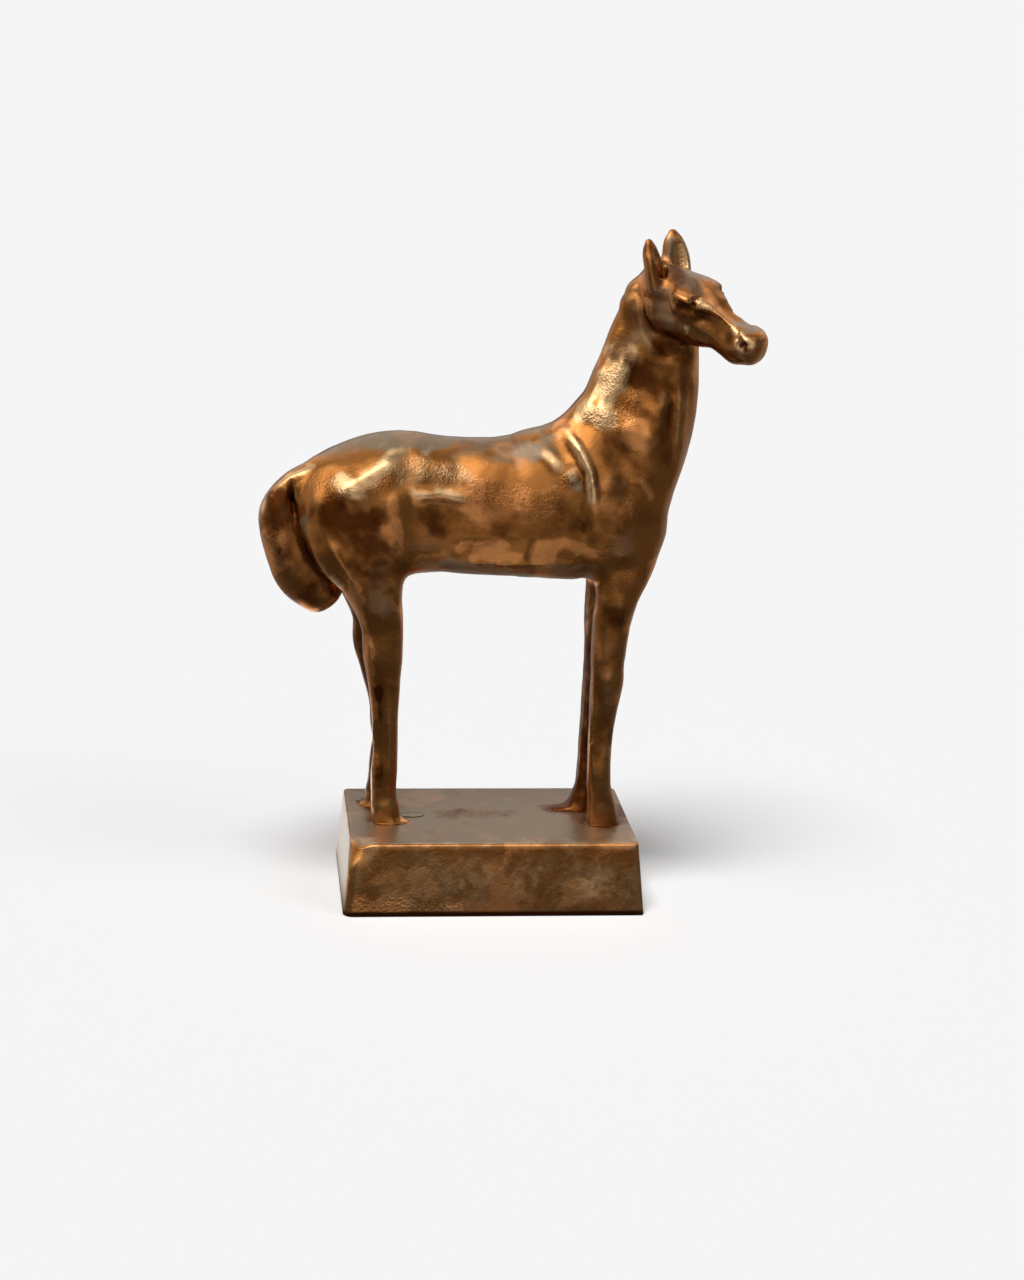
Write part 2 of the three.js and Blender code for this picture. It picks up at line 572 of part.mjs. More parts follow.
// Merges the edges whose loss shows least, until few enough triangles are left. The cost of a merge
// is the squared distance from the new vertex to the planes of the faces that it stands for.
function simplified({ positions, triangles }, keep, careAt) {
  const points = [];
  for (let n = 0; n < positions.length; n += 3) points.push(new THREE.Vector3().fromArray(positions, n));
  const faces = [];
  const around = points.map(() => new Set());
  for (let n = 0; n < triangles.length; n += 3) {
    const corners = triangles.slice(n, n + 3);
    for (const corner of corners) around[corner].add(faces.length);
    faces.push(corners);
  }
  let left = faces.length;
  const normalOf = ([a, b, c]) => points[b].clone().sub(points[a]).cross(points[c].clone().sub(points[a]));
  const quadrics = points.map(() => new Float64Array(10));
  for (const corners of faces) {
    const normal = normalOf(corners);
    const weight = normal.length() * careAt(points[corners[0]]);
    normal.normalize();
    const { x, y, z } = normal;
    const w = -normal.dot(points[corners[0]]);
    const plane = [x * x, x * y, x * z, x * w, y * y, y * z, y * w, z * z, z * w, w * w];
    for (const corner of corners) plane.forEach((value, i) => (quadrics[corner][i] += weight * value));
  }
  function costOf(q, { x, y, z }) {
    return (
      q[0] * x * x + 2 * q[1] * x * y + 2 * q[2] * x * z + 2 * q[3] * x +
      q[4] * y * y + 2 * q[5] * y * z + 2 * q[6] * y + q[7] * z * z + 2 * q[8] * z + q[9]
    );
  }
  function bestPoint(q, a, b) {
    const middle = points[a].clone().lerp(points[b], 0.5);
    const span = points[a].distanceTo(points[b]);
    const pull = FLAT_PULL * (q[0] + q[4] + q[7]) + 1e-9;
    const matrix = new THREE.Matrix3().set(
      q[0] + pull, q[1], q[2],
      q[1], q[4] + pull, q[5],
      q[2], q[5], q[7] + pull,
    );
    const aim = middle.clone().multiplyScalar(pull).sub(new THREE.Vector3(q[3], q[6], q[8]));
    const best = aim.applyMatrix3(matrix.invert());
    return best.distanceTo(middle) < 2 * span ? best : middle;
  }

  const heap = [];
  const versions = new Int32Array(points.length);
  const before = (i, j) => heap[i].cost < heap[j].cost;
  function swap(i, j) {
    [heap[i], heap[j]] = [heap[j], heap[i]];
  }
  function pushEdge(a, b) {
    const q = quadrics[a].map((value, i) => value + quadrics[b][i]);
    const point = bestPoint(q, a, b);
    const cost = costOf(q, point) + LENGTH_COST * points[a].distanceToSquared(points[b]) * careAt(point);
    let n = heap.push({ a, b, point, cost, version: versions[a] + versions[b] }) - 1;
    while (n > 0 && before(n, (n - 1) >> 1)) {
      swap(n, (n - 1) >> 1);
      n = (n - 1) >> 1;
    }
  }
  function popEdge() {
    const top = heap[0];
    const last = heap.pop();
    if (!heap.length) return top;
    heap[0] = last;
    for (let n = 0; ; ) {
      let least = n;
      for (const child of [2 * n + 1, 2 * n + 2]) {
        if (child < heap.length && before(child, least)) least = child;
      }
      if (least === n) return top;
      swap(n, least);
      n = least;
    }
  }
  const neighbours = (n) => new Set([...around[n]].flatMap((f) => faces[f]).filter((other) => other !== n));
  function keepsSense(n, gone, point) {
    return [...around[n]].every((f) => {
      if (faces[f].includes(gone)) return true;
      const old = normalOf(faces[f]);
      const kept = points[n];
      points[n] = point;
      const fresh = normalOf(faces[f]);
      points[n] = kept;
      return fresh.length() > LEAST_AREA && fresh.dot(old) > LEAST_TURN * fresh.length() * old.length();
    });
  }
  function merge({ a, b, point }) {
    const shared = [...neighbours(a)].filter((n) => neighbours(b).has(n));
    if (shared.length !== 2) return;
    if (!keepsSense(a, b, point) || !keepsSense(b, a, point)) return;
    for (const f of [...around[b]]) {
      if (faces[f].includes(a)) {
        for (const corner of faces[f]) around[corner].delete(f);
        faces[f] = null;
        left--;
      } else {
        faces[f] = faces[f].map((corner) => (corner === b ? a : corner));
        around[a].add(f);
      }
    }
    around[b].clear();
    points[a] = point;
    quadrics[a] = quadrics[a].map((value, i) => value + quadrics[b][i]);
    versions[a]++;
    versions[b] = -1e6;
    for (const n of neighbours(a)) pushEdge(a, n);
  }
  for (const [a, b, c] of faces) {
    for (const [p, q] of [[a, b], [b, c], [c, a]]) {
      if (p < q) pushEdge(p, q);
    }
  }
  while (left > keep && heap.length) {
    const edge = popEdge();
    if (edge.version === versions[edge.a] + versions[edge.b]) merge(edge);
  }

  const used = new Map();
  const result = { positions: [], triangles: [] };
  for (const corner of faces.filter(Boolean).flat()) {
    if (!used.has(corner)) {
      used.set(corner, used.size);
      result.positions.push(...points[corner].toArray());
    }
    result.triangles.push(used.get(corner));
  }
  return result;
}

// The whole casting

const wasm = await Module();
wasm.setup();

function solid({ positions, triangles }) {
  return new wasm.Manifold(new wasm.Mesh({
    numProp: 3,
    vertProperties: new Float32Array(positions),
    triVerts: new Uint32Array(triangles),
  }));
}

function castingGeometry() {
  const care = (point) => (point.z > HEAD_LEVEL ? HEAD_CARE : 1);
  const horse = simplified(skin(horseForm(), GRID), KEPT_TRIANGLES, care);
  const whole = solid(plinthGeometry()).add(solid(horse)).getMesh();
  const geometry = new THREE.BufferGeometry();
  geometry.setAttribute("position", new THREE.BufferAttribute(whole.vertProperties, 3));
  geometry.setIndex(new THREE.BufferAttribute(whole.triVerts, 1));
  geometry.computeVertexNormals();
  return geometry;
}

const bronze = new THREE.MeshStandardMaterial({ color: 0x8a5a2b, metalness: 0.9, roughness: 0.35 });
const casting = new THREE.Mesh(castingGeometry(), bronze);
casting.name = "horse_and_plinth";

const part = new THREE.Group();
part.name = "horse_sculpture";
part.add(casting);

export default part;
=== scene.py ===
# A small bronze horse cast in one piece with its plinth: the finished surface, the stage and the light.
import math

import bmesh
import bpy
import numpy as np
from mathutils import Matrix, Vector, noise


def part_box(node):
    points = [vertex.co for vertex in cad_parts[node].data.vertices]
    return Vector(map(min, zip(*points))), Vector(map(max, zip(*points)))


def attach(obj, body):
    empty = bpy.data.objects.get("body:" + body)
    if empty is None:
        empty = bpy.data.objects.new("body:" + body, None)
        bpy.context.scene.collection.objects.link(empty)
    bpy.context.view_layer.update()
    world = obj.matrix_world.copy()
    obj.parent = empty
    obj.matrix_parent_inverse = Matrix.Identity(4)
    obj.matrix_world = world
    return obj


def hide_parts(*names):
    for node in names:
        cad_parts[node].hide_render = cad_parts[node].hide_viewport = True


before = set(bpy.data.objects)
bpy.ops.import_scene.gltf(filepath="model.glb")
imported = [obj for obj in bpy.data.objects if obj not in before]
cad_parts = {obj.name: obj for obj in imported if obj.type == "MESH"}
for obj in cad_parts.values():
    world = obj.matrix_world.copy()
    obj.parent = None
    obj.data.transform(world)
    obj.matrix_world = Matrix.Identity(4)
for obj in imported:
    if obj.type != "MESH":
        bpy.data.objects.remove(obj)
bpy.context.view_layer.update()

# The sculpture is worked out in millimetres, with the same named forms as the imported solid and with
# finer relief, and is brought to metres at the end.
MM = 0.001
NODE = "horse_and_plinth"
CAD_LOW, CAD_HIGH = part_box(NODE)

PLINTH = {
    "length": 86.0,
    "width": 57.0,
    "height": 22.0,
    "end_batter": 2.1,
    "side_batter": 2.2,
    "corner_radii": (1.6, 1.6, 3.2, 1.2),
    "edge_radius": 0.8,
    "foot_chamfer": 0.35,
}
GROUND = PLINTH["height"]
SINK = 1.2  # how far each leg goes on down into the plinth
MIDDLE_AT_ORIGIN = 0.85
MIDDLE_SLOPE = -0.027


def middle_y(x):
    """The horse's upright middle plane, which runs a little askew along the plinth."""
    return MIDDLE_AT_ORIGIN + MIDDLE_SLOPE * x


# Each station of a swept form is x, y, z, half depth and half width.
TRUNK = [
    (-51, 2.2, 118.4, 13, 9.5),
    (-46, 2.1, 118.4, 17, 12.4),
    (-38, 1.9, 118.6, 20.1, 13.8),
    (-28, 1.6, 119.5, 21.1, 13.8),
    (-16, 1.3, 119.2, 20, 12.8),
    (-3, 1, 118.7, 20.3, 13.6),
    (8, 0.6, 118, 19.6, 13.8),
    (20, 0.3, 120.4, 23.1, 12.6),
    (29, 0, 118.4, 20.4, 11.6),
    (39.8, 0, 117, 15.5, 9.8),
]
NECK = [
    (32, 0, 120, 18.8, 11.4),
    (35.8, 0, 134, 19.8, 11),
    (41, 0, 145, 17.8, 10.2),
    (43.6, 0, 156, 15.9, 8.8),
    (44.9, -0.6, 164.6, 14.4, 7.9),
    (46.2, -1.2, 174.5, 12.1, 7.2),
    (45.5, -2, 180.4, 10.6, 6.2),
    (44.6, -2, 184.2, 8.4, 5.4),
]
TAIL = [
    (-53, 1.8, 128.2, 4, 4),
    (-59.2, 1.8, 124.2, 4.7, 5),
    (-63.6, 1.8, 117.4, 6, 6),
    (-63, 1.8, 111, 7.1, 6.6),
    (-60.4, 1.8, 105, 8.2, 7),
    (-56.6, 1.8, 97.6, 8.9, 6.6),
    (-51.4, 1.8, 91.6, 7.2, 5.2),
]
NEAR_HIND = [
    (-41, -4.5, 119, 14.4, 8),
    (-40.4, -6.6, 108, 14.2, 7),
    (-37.5, -7, 99.5, 10.2, 6.4),
    (-35.3, -7, 91.5, 7.4, 5.6),
    (-33.6, -6.6, 84, 6.1, 4.6),
    (-33.3, -6.2, 75, 5.9, 4.4),
    (-32.6, -5.8, 66, 4.7, 3.8),
    (-32, -5.6, 55, 3.8, 3.4),
    (-31.9, -5.4, 44, 3.5, 3.3),
    (-32.3, -5.2, 36, 3.9, 3.7),
    (-32.2, -5.2, 30, 3.9, 3.4),
    (-31.8, -5.2, 26.5, 4.2, 3.8),
    (-31.2, -5.2, GROUND - SINK, 4.5, 4.2),
]
FAR_HIND = [
    (-41, 8.5, 119, 14.4, 8),
    (-40.6, 10.4, 108, 13.8, 7),
    (-39.2, 11.2, 99.5, 11, 6.4),
    (-37.4, 11.6, 91.5, 7.8, 5.6),
    (-35.9, 12, 83, 5.9, 4.6),
    (-35.6, 12, 75, 5.9, 4.4),
    (-34.2, 12, 66.5, 4.8, 3.8),
    (-32, 12, 55, 3.8, 3.4),
    (-31.6, 12, 44, 3.6, 3.3),
    (-31.9, 12, 34, 3.9, 3.7),
    (-32.4, 12, 29, 3.8, 3.4),
    (-32.6, 12, 25.5, 4.3, 3.8),
    (-32.4, 12, GROUND - SINK, 4.6, 4.2),
]
NEAR_FORE = [
    (39.2, -3.4, 112, 10.8, 8.2),
    (38.4, -5.6, 102, 8.8, 6.6),
    (36.8, -6.8, 93, 6.3, 5.4),
    (35.4, -7.2, 82, 5.2, 4.6),
    (34.8, -7.4, 73, 4.7, 4.2),
    (34.7, -7.4, 67, 4.6, 4.3),
    (34, -7.5, 57, 3.8, 3.5),
    (33.1, -7.5, 45, 3.4, 3.3),
    (33.1, -7.5, 35, 3.6, 3.6),
    (33.7, -7.5, 29.5, 4, 3.6),
    (34.2, -7.5, 26, 4.5, 3.9),
    (34.7, -7.5, GROUND - SINK, 5.2, 4.3),
]
FAR_FORE = [
    (38.8, 3.4, 112, 10.8, 8.2),
    (37.6, 5.6, 102, 8.8, 6.6),
    (35.4, 7, 93, 6.3, 5.4),
    (34.4, 7.6, 82, 5.1, 4.6),
    (34.2, 7.8, 73, 4.6, 4.2),
    (34, 7.9, 66, 4.5, 4.3),
    (32.8, 8, 55, 3.6, 3.5),
    (32, 8, 42, 3.4, 3.3),
    (31.7, 8, 33, 3.6, 3.6),
    (31.4, 8, 28.5, 3.8, 3.6),
    (30.9, 8, 25.5, 4.3, 3.9),
    (30.2, 8, GROUND - SINK, 5.2, 4.4),
]

# Relief on both flanks. Each stroke is a line of x, z, its width, and how far it lifts the skin, which it
# does less towards its ends. A keen stroke has a ridge along its line, and the others are round.
KEEN = True
RELIEF = [
    ([(-50, 125.5), (-41, 128.8), (-34, 132.4), (-28, 137.5)], 8, 1.6),
    ([(-46, 127), (-40, 129.2), (-33, 133), (-29.5, 136.6)], 3.4, 0.5, KEEN),
    ([(-49, 127.6), (-43, 123.6), (-37, 120.6)], 6, 0.6),
    ([(-44, 118), (-36, 119.5)], 6, -0.3),
    ([(-34, 132), (-31.4, 124), (-29.4, 112), (-28.8, 100)], 8, 0.4),
    ([(-39, 118), (-37.5, 104)], 7, -0.5),
    ([(-25, 118), (-24.4, 110), (-24.6, 101)], 6, -0.15),
    ([(-27, 130), (-20, 131), (-12, 130)], 7, 0.9),
    ([(-26, 123.4), (-18, 124.2), (-9, 123.2)], 3.2, 0.85),
    ([(-9, 130), (2, 127)], 7, 0.35),
    ([(-16, 118.4), (2, 117.4)], 6, -0.5),
    ([(-16, 108.6), (-2, 107.6), (12, 108.2)], 5, -0.35),
    ([(-19, 103.6), (4, 103.2), (27, 103)], 2.4, 0.6, KEEN),
    ([(-54, 116), (-52, 112.6), (-46.6, 104), (-42.6, 97), (-40, 86)], 3, 0.9, KEEN),
    ([(-30.6, 101), (-29.6, 92), (-29.4, 83)], 2.6, 0.7, KEEN),
    ([(-41, 88), (-37.6, 78), (-36.6, 66), (-35.6, 50), (-35.4, 36)], 2.4, 0.8, KEEN),
    ([(-34.2, 72), (-33.6, 50), (-33.4, 30)], 2.2, -1),
    ([(-31.2, 60), (-30.6, 44), (-31, 30)], 1.8, 0.5, KEEN),
    ([(19, 144.4), (21.4, 140.6), (24, 136.4), (26.4, 131.4), (27.4, 126), (27.2, 121)], 2.3, 1.3),
    ([(24, 144), (28.6, 136), (31.6, 126), (32, 116)], 7, 1),
    ([(16, 141), (19.4, 136), (20.6, 133.4)], 3.4, -0.4),
    ([(20.8, 131.6), (22.6, 127.6)], 3.4, 0.75),
    ([(27.2, 126), (28, 116), (29, 106), (29.4, 96)], 4, 0.7),
    ([(11, 138), (14.4, 135.4), (18.4, 131)], 3.4, 0.6),
    ([(22.8, 124), (24.2, 119), (24.8, 112)], 4.2, -0.5),
    ([(34.5, 124), (37.5, 112), (38, 102)], 10, 1),
    ([(29.5, 126), (33, 129), (38, 129.8), (43, 127.6), (46.5, 122)], 4, 0.35),
    ([(26, 140), (32, 137.4), (38, 134.4), (44, 130.4), (49.5, 125.5)], 5, -0.4),
    ([(34, 145), (40, 142.6), (47, 139)], 6, 0.9),
    ([(38, 163), (43, 155.5), (46.5, 149)], 7, -0.6),
    ([(41, 188), (43, 180), (44.6, 173), (49, 167), (56, 166)], 4, -1.3),
    ([(23.5, 146.5), (29.5, 158), (32.4, 164)], 4, 0.8),
    ([(28.6, 147), (35.8, 161.8), (39.2, 169)], 4.4, 1),
    ([(27, 149), (32.8, 161), (35.4, 167)], 2, -0.5),
    ([(23.5, 149), (28, 147.6), (33, 146)], 4.5, 0.6),
    ([(52.4, 165), (53.4, 154), (53.4, 140), (52.4, 124)], 3, 0.7),
    ([(49.6, 160), (50, 150), (50, 138)], 3, -0.6),
    ([(47, 155), (50, 151)], 3.6, 0.5),
    ([(29.6, 99), (30, 84), (30.2, 66), (29.8, 46), (30.2, 30)], 2, 1.1, KEEN),
    ([(36.4, 95), (38.6, 84)], 3.6, 0.5),
    ([(33.8, 71), (34.6, 61)], 3.6, 0.5),
    ([(33.5, 58), (32.8, 40)], 2.2, -0.5),
]
TAIL_RELIEF = [
    ([(-69, 117), (-66.6, 122.6), (-61.6, 127.2), (-54, 130)], 2.8, 0.8, KEEN),
    ([(-67, 113), (-64, 103), (-57, 92.6)], 4.4, 0.5),
    ([(-61, 126.6), (-60.6, 121), (-58.8, 113.6)], 1.4, -1.4),
]

# The head faces its own +X with the poll at its origin, and is then turned and set on the neck.
HEAD_AT = (44.9, -1.2, 184.6)
HEAD_TURN, HEAD_NOD, HEAD_TILT = -41, 21, 11
SKULL = [
    (2.6, 0, 0.6, 7.6, 6.8),
    (8, 0, 0.8, 8.6, 7.6),
    (14, 0, 1.6, 7.6, 8.1),
    (20, 0, 0.2, 5.9, 5.6),
    (26, 0, -0.6, 5, 4.5),
    (31, 0, -1, 4.8, 4.2),
    (36.2, 0, -0.9, 5.4, 4.8),
]
JAW = [
    (4, 0, -3.4, 5.6, 5.4),
    (10, 0, -4, 5.6, 6.4),
    (18, 0, -4, 5.5, 5.4),
    (25, 0, -2.6, 4.2, 4),
    (32.6, 0, -4.3, 3.9, 3.6),
]
EAR = [
    (3.2, -4.5, 4.6, 5.4, 3.5),
    (1.2, -5.4, 9.6, 4.6, 2.6),
    (-0.7, -5.7, 13, 3.4, 2.1),
    (-1.9, -5.8, 15.7, 1.4, 1.1),
]
EAR_TWIST = -68
EAR_HOLLOW = [
    (5, -4.3, 6.8, 2, 1.3),
    (3.7, -4.8, 10, 2.9, 1.7),
    (1.6, -5.2, 13.4, 1.9, 1.3),
]
# Each lump is its centre, its half sizes and its lean in degrees.
LID = ((15.3, -7.2, 6.3), (4.0, 2.1, 1.6), 4)
BROW = ((15.2, -5.2, 6.0), (4.2, 3.0, 2.6), 6)
FORELOCK = ((6.6, -1, 8.4), (3.4, 2.2, 1.8), -10)
HEAD_RELIEF = [
    ([(14, 4), (17, 4), (19.4, 5)], 2.6, -0.7),
    ([(11.6, 6.2), (12, 3.4), (14.2, 0.8)], 1.4, 0.8, KEEN),
    ([(19.2, 6.2), (23, 6.4), (27, 5.9), (30.8, 4.5), (33, 2.7)], 2.8, 1.3),
    ([(18, 8), (18.8, 4.4)], 1.3, -0.8),
    ([(19.6, 2.2), (25, 1.8), (31, 0)], 3.4, -0.8),
    ([(18.4, -1.4), (18.3, -4.8)], 1.2, 0.5, KEEN),
    ([(36, 0.8), (37.8, 0.1)], 1.8, -1.6),
    ([(33.4, 3.4), (35.8, 3.1), (38.6, 1.9)], 1.5, 1, KEEN),
    ([(34, 1.4), (34.6, -0.4), (36.4, -1.6)], 1.5, 0.6, KEEN),
    ([(32, -4.6), (37, -4.2)], 1.2, -0.35),
    ([(-1.4, 9), (0.4, 6), (2, 2.4), (5.2, -4), (8.6, -9)], 2.2, 1.7, KEEN),
    ([(7.5, 4), (10.5, -4)], 6, -0.9),
]

# Metal smeared on the plinth around the hooves: x, y, half length, half width and height
SMEARS = [
    (-28.6, -6.6, 4.4, 3, 0.9),
    (-34.6, 12, 4.6, 4.4, 1),
    (28, 7.4, 6, 3.8, 1.3),
    (23.2, 6.2, 3.4, 2.2, 0.7),
    (-23.4, 0.3, 5, 3.2, 0.3),
]
# Fills the dip between the neck and the back
WITHERS = ((13.5, 0.4, 134.6), (11, 6, 4.4), 14)

RELIEF_REACH = 4  # how far from the plain skin relief is looked for
RELIEF_DRIFT = 0.35  # how far a stroke strays from its line, by hand
DRIFT_SIZE = 8
STROKE_ENDS = (-0.1, 0.6)  # where a stroke sets in and is whole, from its end at 0 to its middle at 1
BODY_FADE = 7  # how far from the middle plane the relief has its full height
TAIL_FADE = 4
HEAD_FADE = 4
SPAN_STEPS = 8
FAR = 8  # a form further away than this adds nothing to a point
NOWHERE = 1e3  # the distance to the skin where there is no form

# Forms


class Form:
    """A box, and a function that gives many points' distance from the skin, below 0 inside."""

    def __init__(self, low, high, distance):
        self.low = np.array(low, float)
        self.high = np.array(high, float)
        self.distance = distance

    def away(self, points):
        """How far points are from the form's box."""
        past = np.maximum(self.low - points, points - self.high)
        return np.linalg.norm(np.maximum(past, 0), axis=1)


def from_skin(u, v, w, a, b, c, squareness):
    """The distance to a rounded form from points that are u, v and w of the way to its skin."""
    power = squareness - 1
    level = (u**squareness + v**squareness + w**squareness) ** (1 / squareness)
    slope = np.sqrt((u**power / a) ** 2 + (v**power / b) ** 2 + (w**power / c) ** 2)
    return np.where(slope > 0, (level - 1) * level**power / np.maximum(slope, 1e-12), -np.minimum(a, b))


def smooth_through(rows):
    """Rows along a smooth curve through the given ones."""
    rows = np.array(rows, float)
    padded = np.vstack([2 * rows[0] - rows[1], rows, 2 * rows[-1] - rows[-2]])
    out = []
    for a, b, c, d in zip(padded, padded[1:], padded[2:], padded[3:]):
        for t in np.arange(SPAN_STEPS) / SPAN_STEPS:
            slope = 0.5 * (c - a)
            bend = a - 2.5 * b + 2 * c - 0.5 * d
            twist = 1.5 * (b - c) + 0.5 * (d - a)
            out.append(b + t * slope + t**2 * bend + t**3 * twist)
    return np.array(out + [rows[-1]])


def sweep(stations, squareness=2.0, pear=0.0, twist=0.0, underside=0.0):
    """A form swept through stations, like a pear across its width, and squarer at its underside."""
    rings = smooth_through(stations)
    pieces = []
    for start, end in zip(rings, rings[1:]):
        along = end[:3] - start[:3]
        length = np.linalg.norm(along)
        along = along / length
        side = np.array([0.0, 1.0, 0.0]) - along[1] * along
        side = side / np.linalg.norm(side)
        side = np.array(Matrix.Rotation(math.radians(twist), 3, Vector(along)) @ Vector(side))
        reach = length / 2 + max(*start[3:], *end[3:])
        up = np.cross(along, side)
        middle = (start + end)[:3] / 2
        pieces.append((start, end, along, length, side, up, middle, reach))

    def distance(points):
        best = np.full(len(points), NOWHERE)
        for start, end, along, length, side, up, middle, reach in pieces:
            near = np.flatnonzero(np.linalg.norm(points - middle, axis=1) - reach < best)
            if not len(near):
                continue
            offset = points[near] - start[:3]
            run = offset @ along
            share = np.clip(run / length, 0, 1)
            depth = start[3] + share * (end[3] - start[3])
            height = offset @ up / depth
            width = (start[4] + share * (end[4] - start[4])) * (1 + pear * np.clip(height, -1, 1))
            cap = np.minimum(depth, width)
            past = np.abs(run - share * length) / cap
            across = np.abs(offset @ side) / width
            square = squareness + underside * smoothstep(-height, 0, 0.9) * (1 - np.clip(past, 0, 1))
            found = from_skin(np.abs(height), across, past, depth, width, cap, square)
            best[near] = np.minimum(best[near], found)
        return best

    reach = rings[:, 3:].max(axis=1, keepdims=True)
    return Form((rings[:, :3] - reach).min(axis=0), (rings[:, :3] + reach).max(axis=0), distance)


def lump(at, size, lean=0.0):
    """An ellipsoid, leaned by degrees about Y."""
    at = np.array(at, float)
    cos, sin = math.cos(math.radians(lean)), math.sin(math.radians(lean))
    turn = np.array([[cos, 0, -sin], [0, 1, 0], [sin, 0, cos]])

    def distance(points):
        u, v, w = np.abs((points - at) @ turn.T / size).T
        return from_skin(u, v, w, *size, 2)

    return Form(at - max(size), at + max(size), distance)


def distance_to_line(spots, line):
    """How far spots are from a line, and how far along it from its nearer end, as a share of its half."""
    nearest = np.full(len(spots), np.inf)
    inward = np.zeros(len(spots))
    lengths = np.linalg.norm(np.diff(line, axis=0), axis=1)
    done = 0.0
    for start, end, length in zip(line, line[1:], lengths):
        way = (end - start) / length
        run = np.clip((spots - start) @ way, 0, length)
        away = np.linalg.norm(spots - start - run[:, None] * way, axis=1)
        closer = away < nearest
        nearest[closer] = away[closer]
        inward[closer] = 1 - np.abs(2 * (done + run[closer]) / lengths.sum() - 1)
        done += length
    return nearest, inward


def ripple(points, size):
    """A smooth, uneven swing between about -1 and 1 over that many millimetres."""
    total = np.zeros(len(points))
    for turn, step in enumerate((1.0, 1.37, 1.83, 2.41)):
        way = np.array([math.cos(2.1 * turn + 0.4), math.sin(1.7 * turn), math.sin(2.9 * turn + 1)])
        total += np.sin(points @ way * (step * math.tau / 2 / size) + 1.9 * turn)
    return total / 4


def smoothstep(value, low, high, whole=1.0):
    """From 0 at low to the whole at high."""
    t = np.clip((value - low) / (high - low), 0, 1)
    return whole * (t * t * (3 - 2 * t))


def beside(spots, line, margin):
    """Which spots are inside a line's box, or within a margin of it."""
    inside = (spots > line.min(axis=0) - margin) & (spots < line.max(axis=0) + margin)
    return np.flatnonzero(inside.all(axis=1))


def relieved(form, strokes, middle, fade_width):
    """The same form with strokes of relief on both sides of a middle plane, near which they fade out."""
    strokes = [(np.array(line, float), *rest) for line, *rest in strokes]

    def distance(points):
        d = form.distance(points)
        skin = np.flatnonzero(np.abs(d) < RELIEF_REACH)
        x, y, z = points[skin].T
        fade = smoothstep(np.abs(y - middle(x)), 0, fade_width)
        drift = RELIEF_DRIFT * ripple(points[skin], DRIFT_SIZE)
        spots = np.stack([x + drift, z - drift], axis=1)
        lift = np.zeros(len(skin))
        for line, width, rise, *keen in strokes:
            here = beside(spots, line, width)
            away, inward = distance_to_line(spots[here], line)
            away = np.minimum(1, away / width)
            profile = (1 - away) ** 2 if keen else (1 - away**2) ** 2
            lift[here] += rise * profile * smoothstep(inward, *STROKE_ENDS)
        d[skin] -= lift * fade
        return d

    return Form(form.low, form.high, distance)


def placed(form, matrix):
    """The same form, carried along by a matrix."""
    back = np.array(matrix.inverted())
    corners = np.array([[x, y, z, 1] for x in (0, 1) for y in (0, 1) for z in (0, 1)], float)
    corners[:, :3] = form.low + corners[:, :3] * (form.high - form.low)
    moved = corners @ np.array(matrix).T
    return Form(
        moved[:, :3].min(axis=0),
        moved[:, :3].max(axis=0),
        lambda points: form.distance(points @ back[:3, :3].T + back[:3, 3]),
    )


def add(form, join=0.0):
    """A step that adds a form, with a soft join of that width."""
    return 1, form, join


def press(form, join):
    """A step that presses a form in."""
    return -1, form, join


def sculpt(steps):
    """One form from many steps, in order."""

    def distance(points):
        d = np.full(len(points), NOWHERE)
        for sign, form, join in steps:
            away = form.away(points)
            if sign > 0:
                d = np.minimum(d, np.maximum(away, FAR))
            near = np.flatnonzero(away < np.minimum(FAR, join + np.abs(d)))
            other = sign * form.distance(points[near])
            mine = d[near]
            overlap = np.maximum(0, join - np.abs(mine - other))
            softening = overlap**2 / (4 * join) if join else 0
            if sign > 0:
                d[near] = np.minimum(mine, other) - softening
            else:
                d[near] = np.maximum(mine, other) + softening
        return d

    added = [form for sign, form, join in steps if sign > 0]
    low = np.min([form.low for form in added], axis=0)
    high = np.max([form.high for form in added], axis=0)
    return Form(low, high, distance)


def head_form():
    steps = [add(sweep(SKULL, squareness=2.6)), add(sweep(JAW, squareness=2.3), join=3)]
    for mirror in (1, -1):
        for ((x, y, z), size, lean), join in ((BROW, 2), (LID, 0.6)):
            steps.append(add(lump((x, mirror * y, z), size, lean), join))
    steps = [add(relieved(sculpt(steps), HEAD_RELIEF, np.zeros_like, HEAD_FADE))]
    steps.append(add(lump(*FORELOCK), join=1.5))
    for mirror in (1, -1):
        ear = [(x, mirror * y, *rest) for x, y, *rest in EAR]
        hollow = [(x, mirror * y, *rest) for x, y, *rest in EAR_HOLLOW]
        steps.append(add(sweep(ear, twist=mirror * EAR_TWIST), join=2.2))
        steps.append(press(sweep(hollow, twist=mirror * EAR_TWIST), join=0.6))
    return sculpt(steps)


def head_frame():
    """The head is turned, then nodded, then tilted, each about its own axes."""
    turn = Matrix.Rotation(math.radians(HEAD_TURN), 4, "Z")
    nod = Matrix.Rotation(math.radians(HEAD_NOD), 4, "Y")
    tilt = Matrix.Rotation(math.radians(HEAD_TILT), 4, "X")
    return Matrix.Translation(HEAD_AT) @ turn @ nod @ tilt


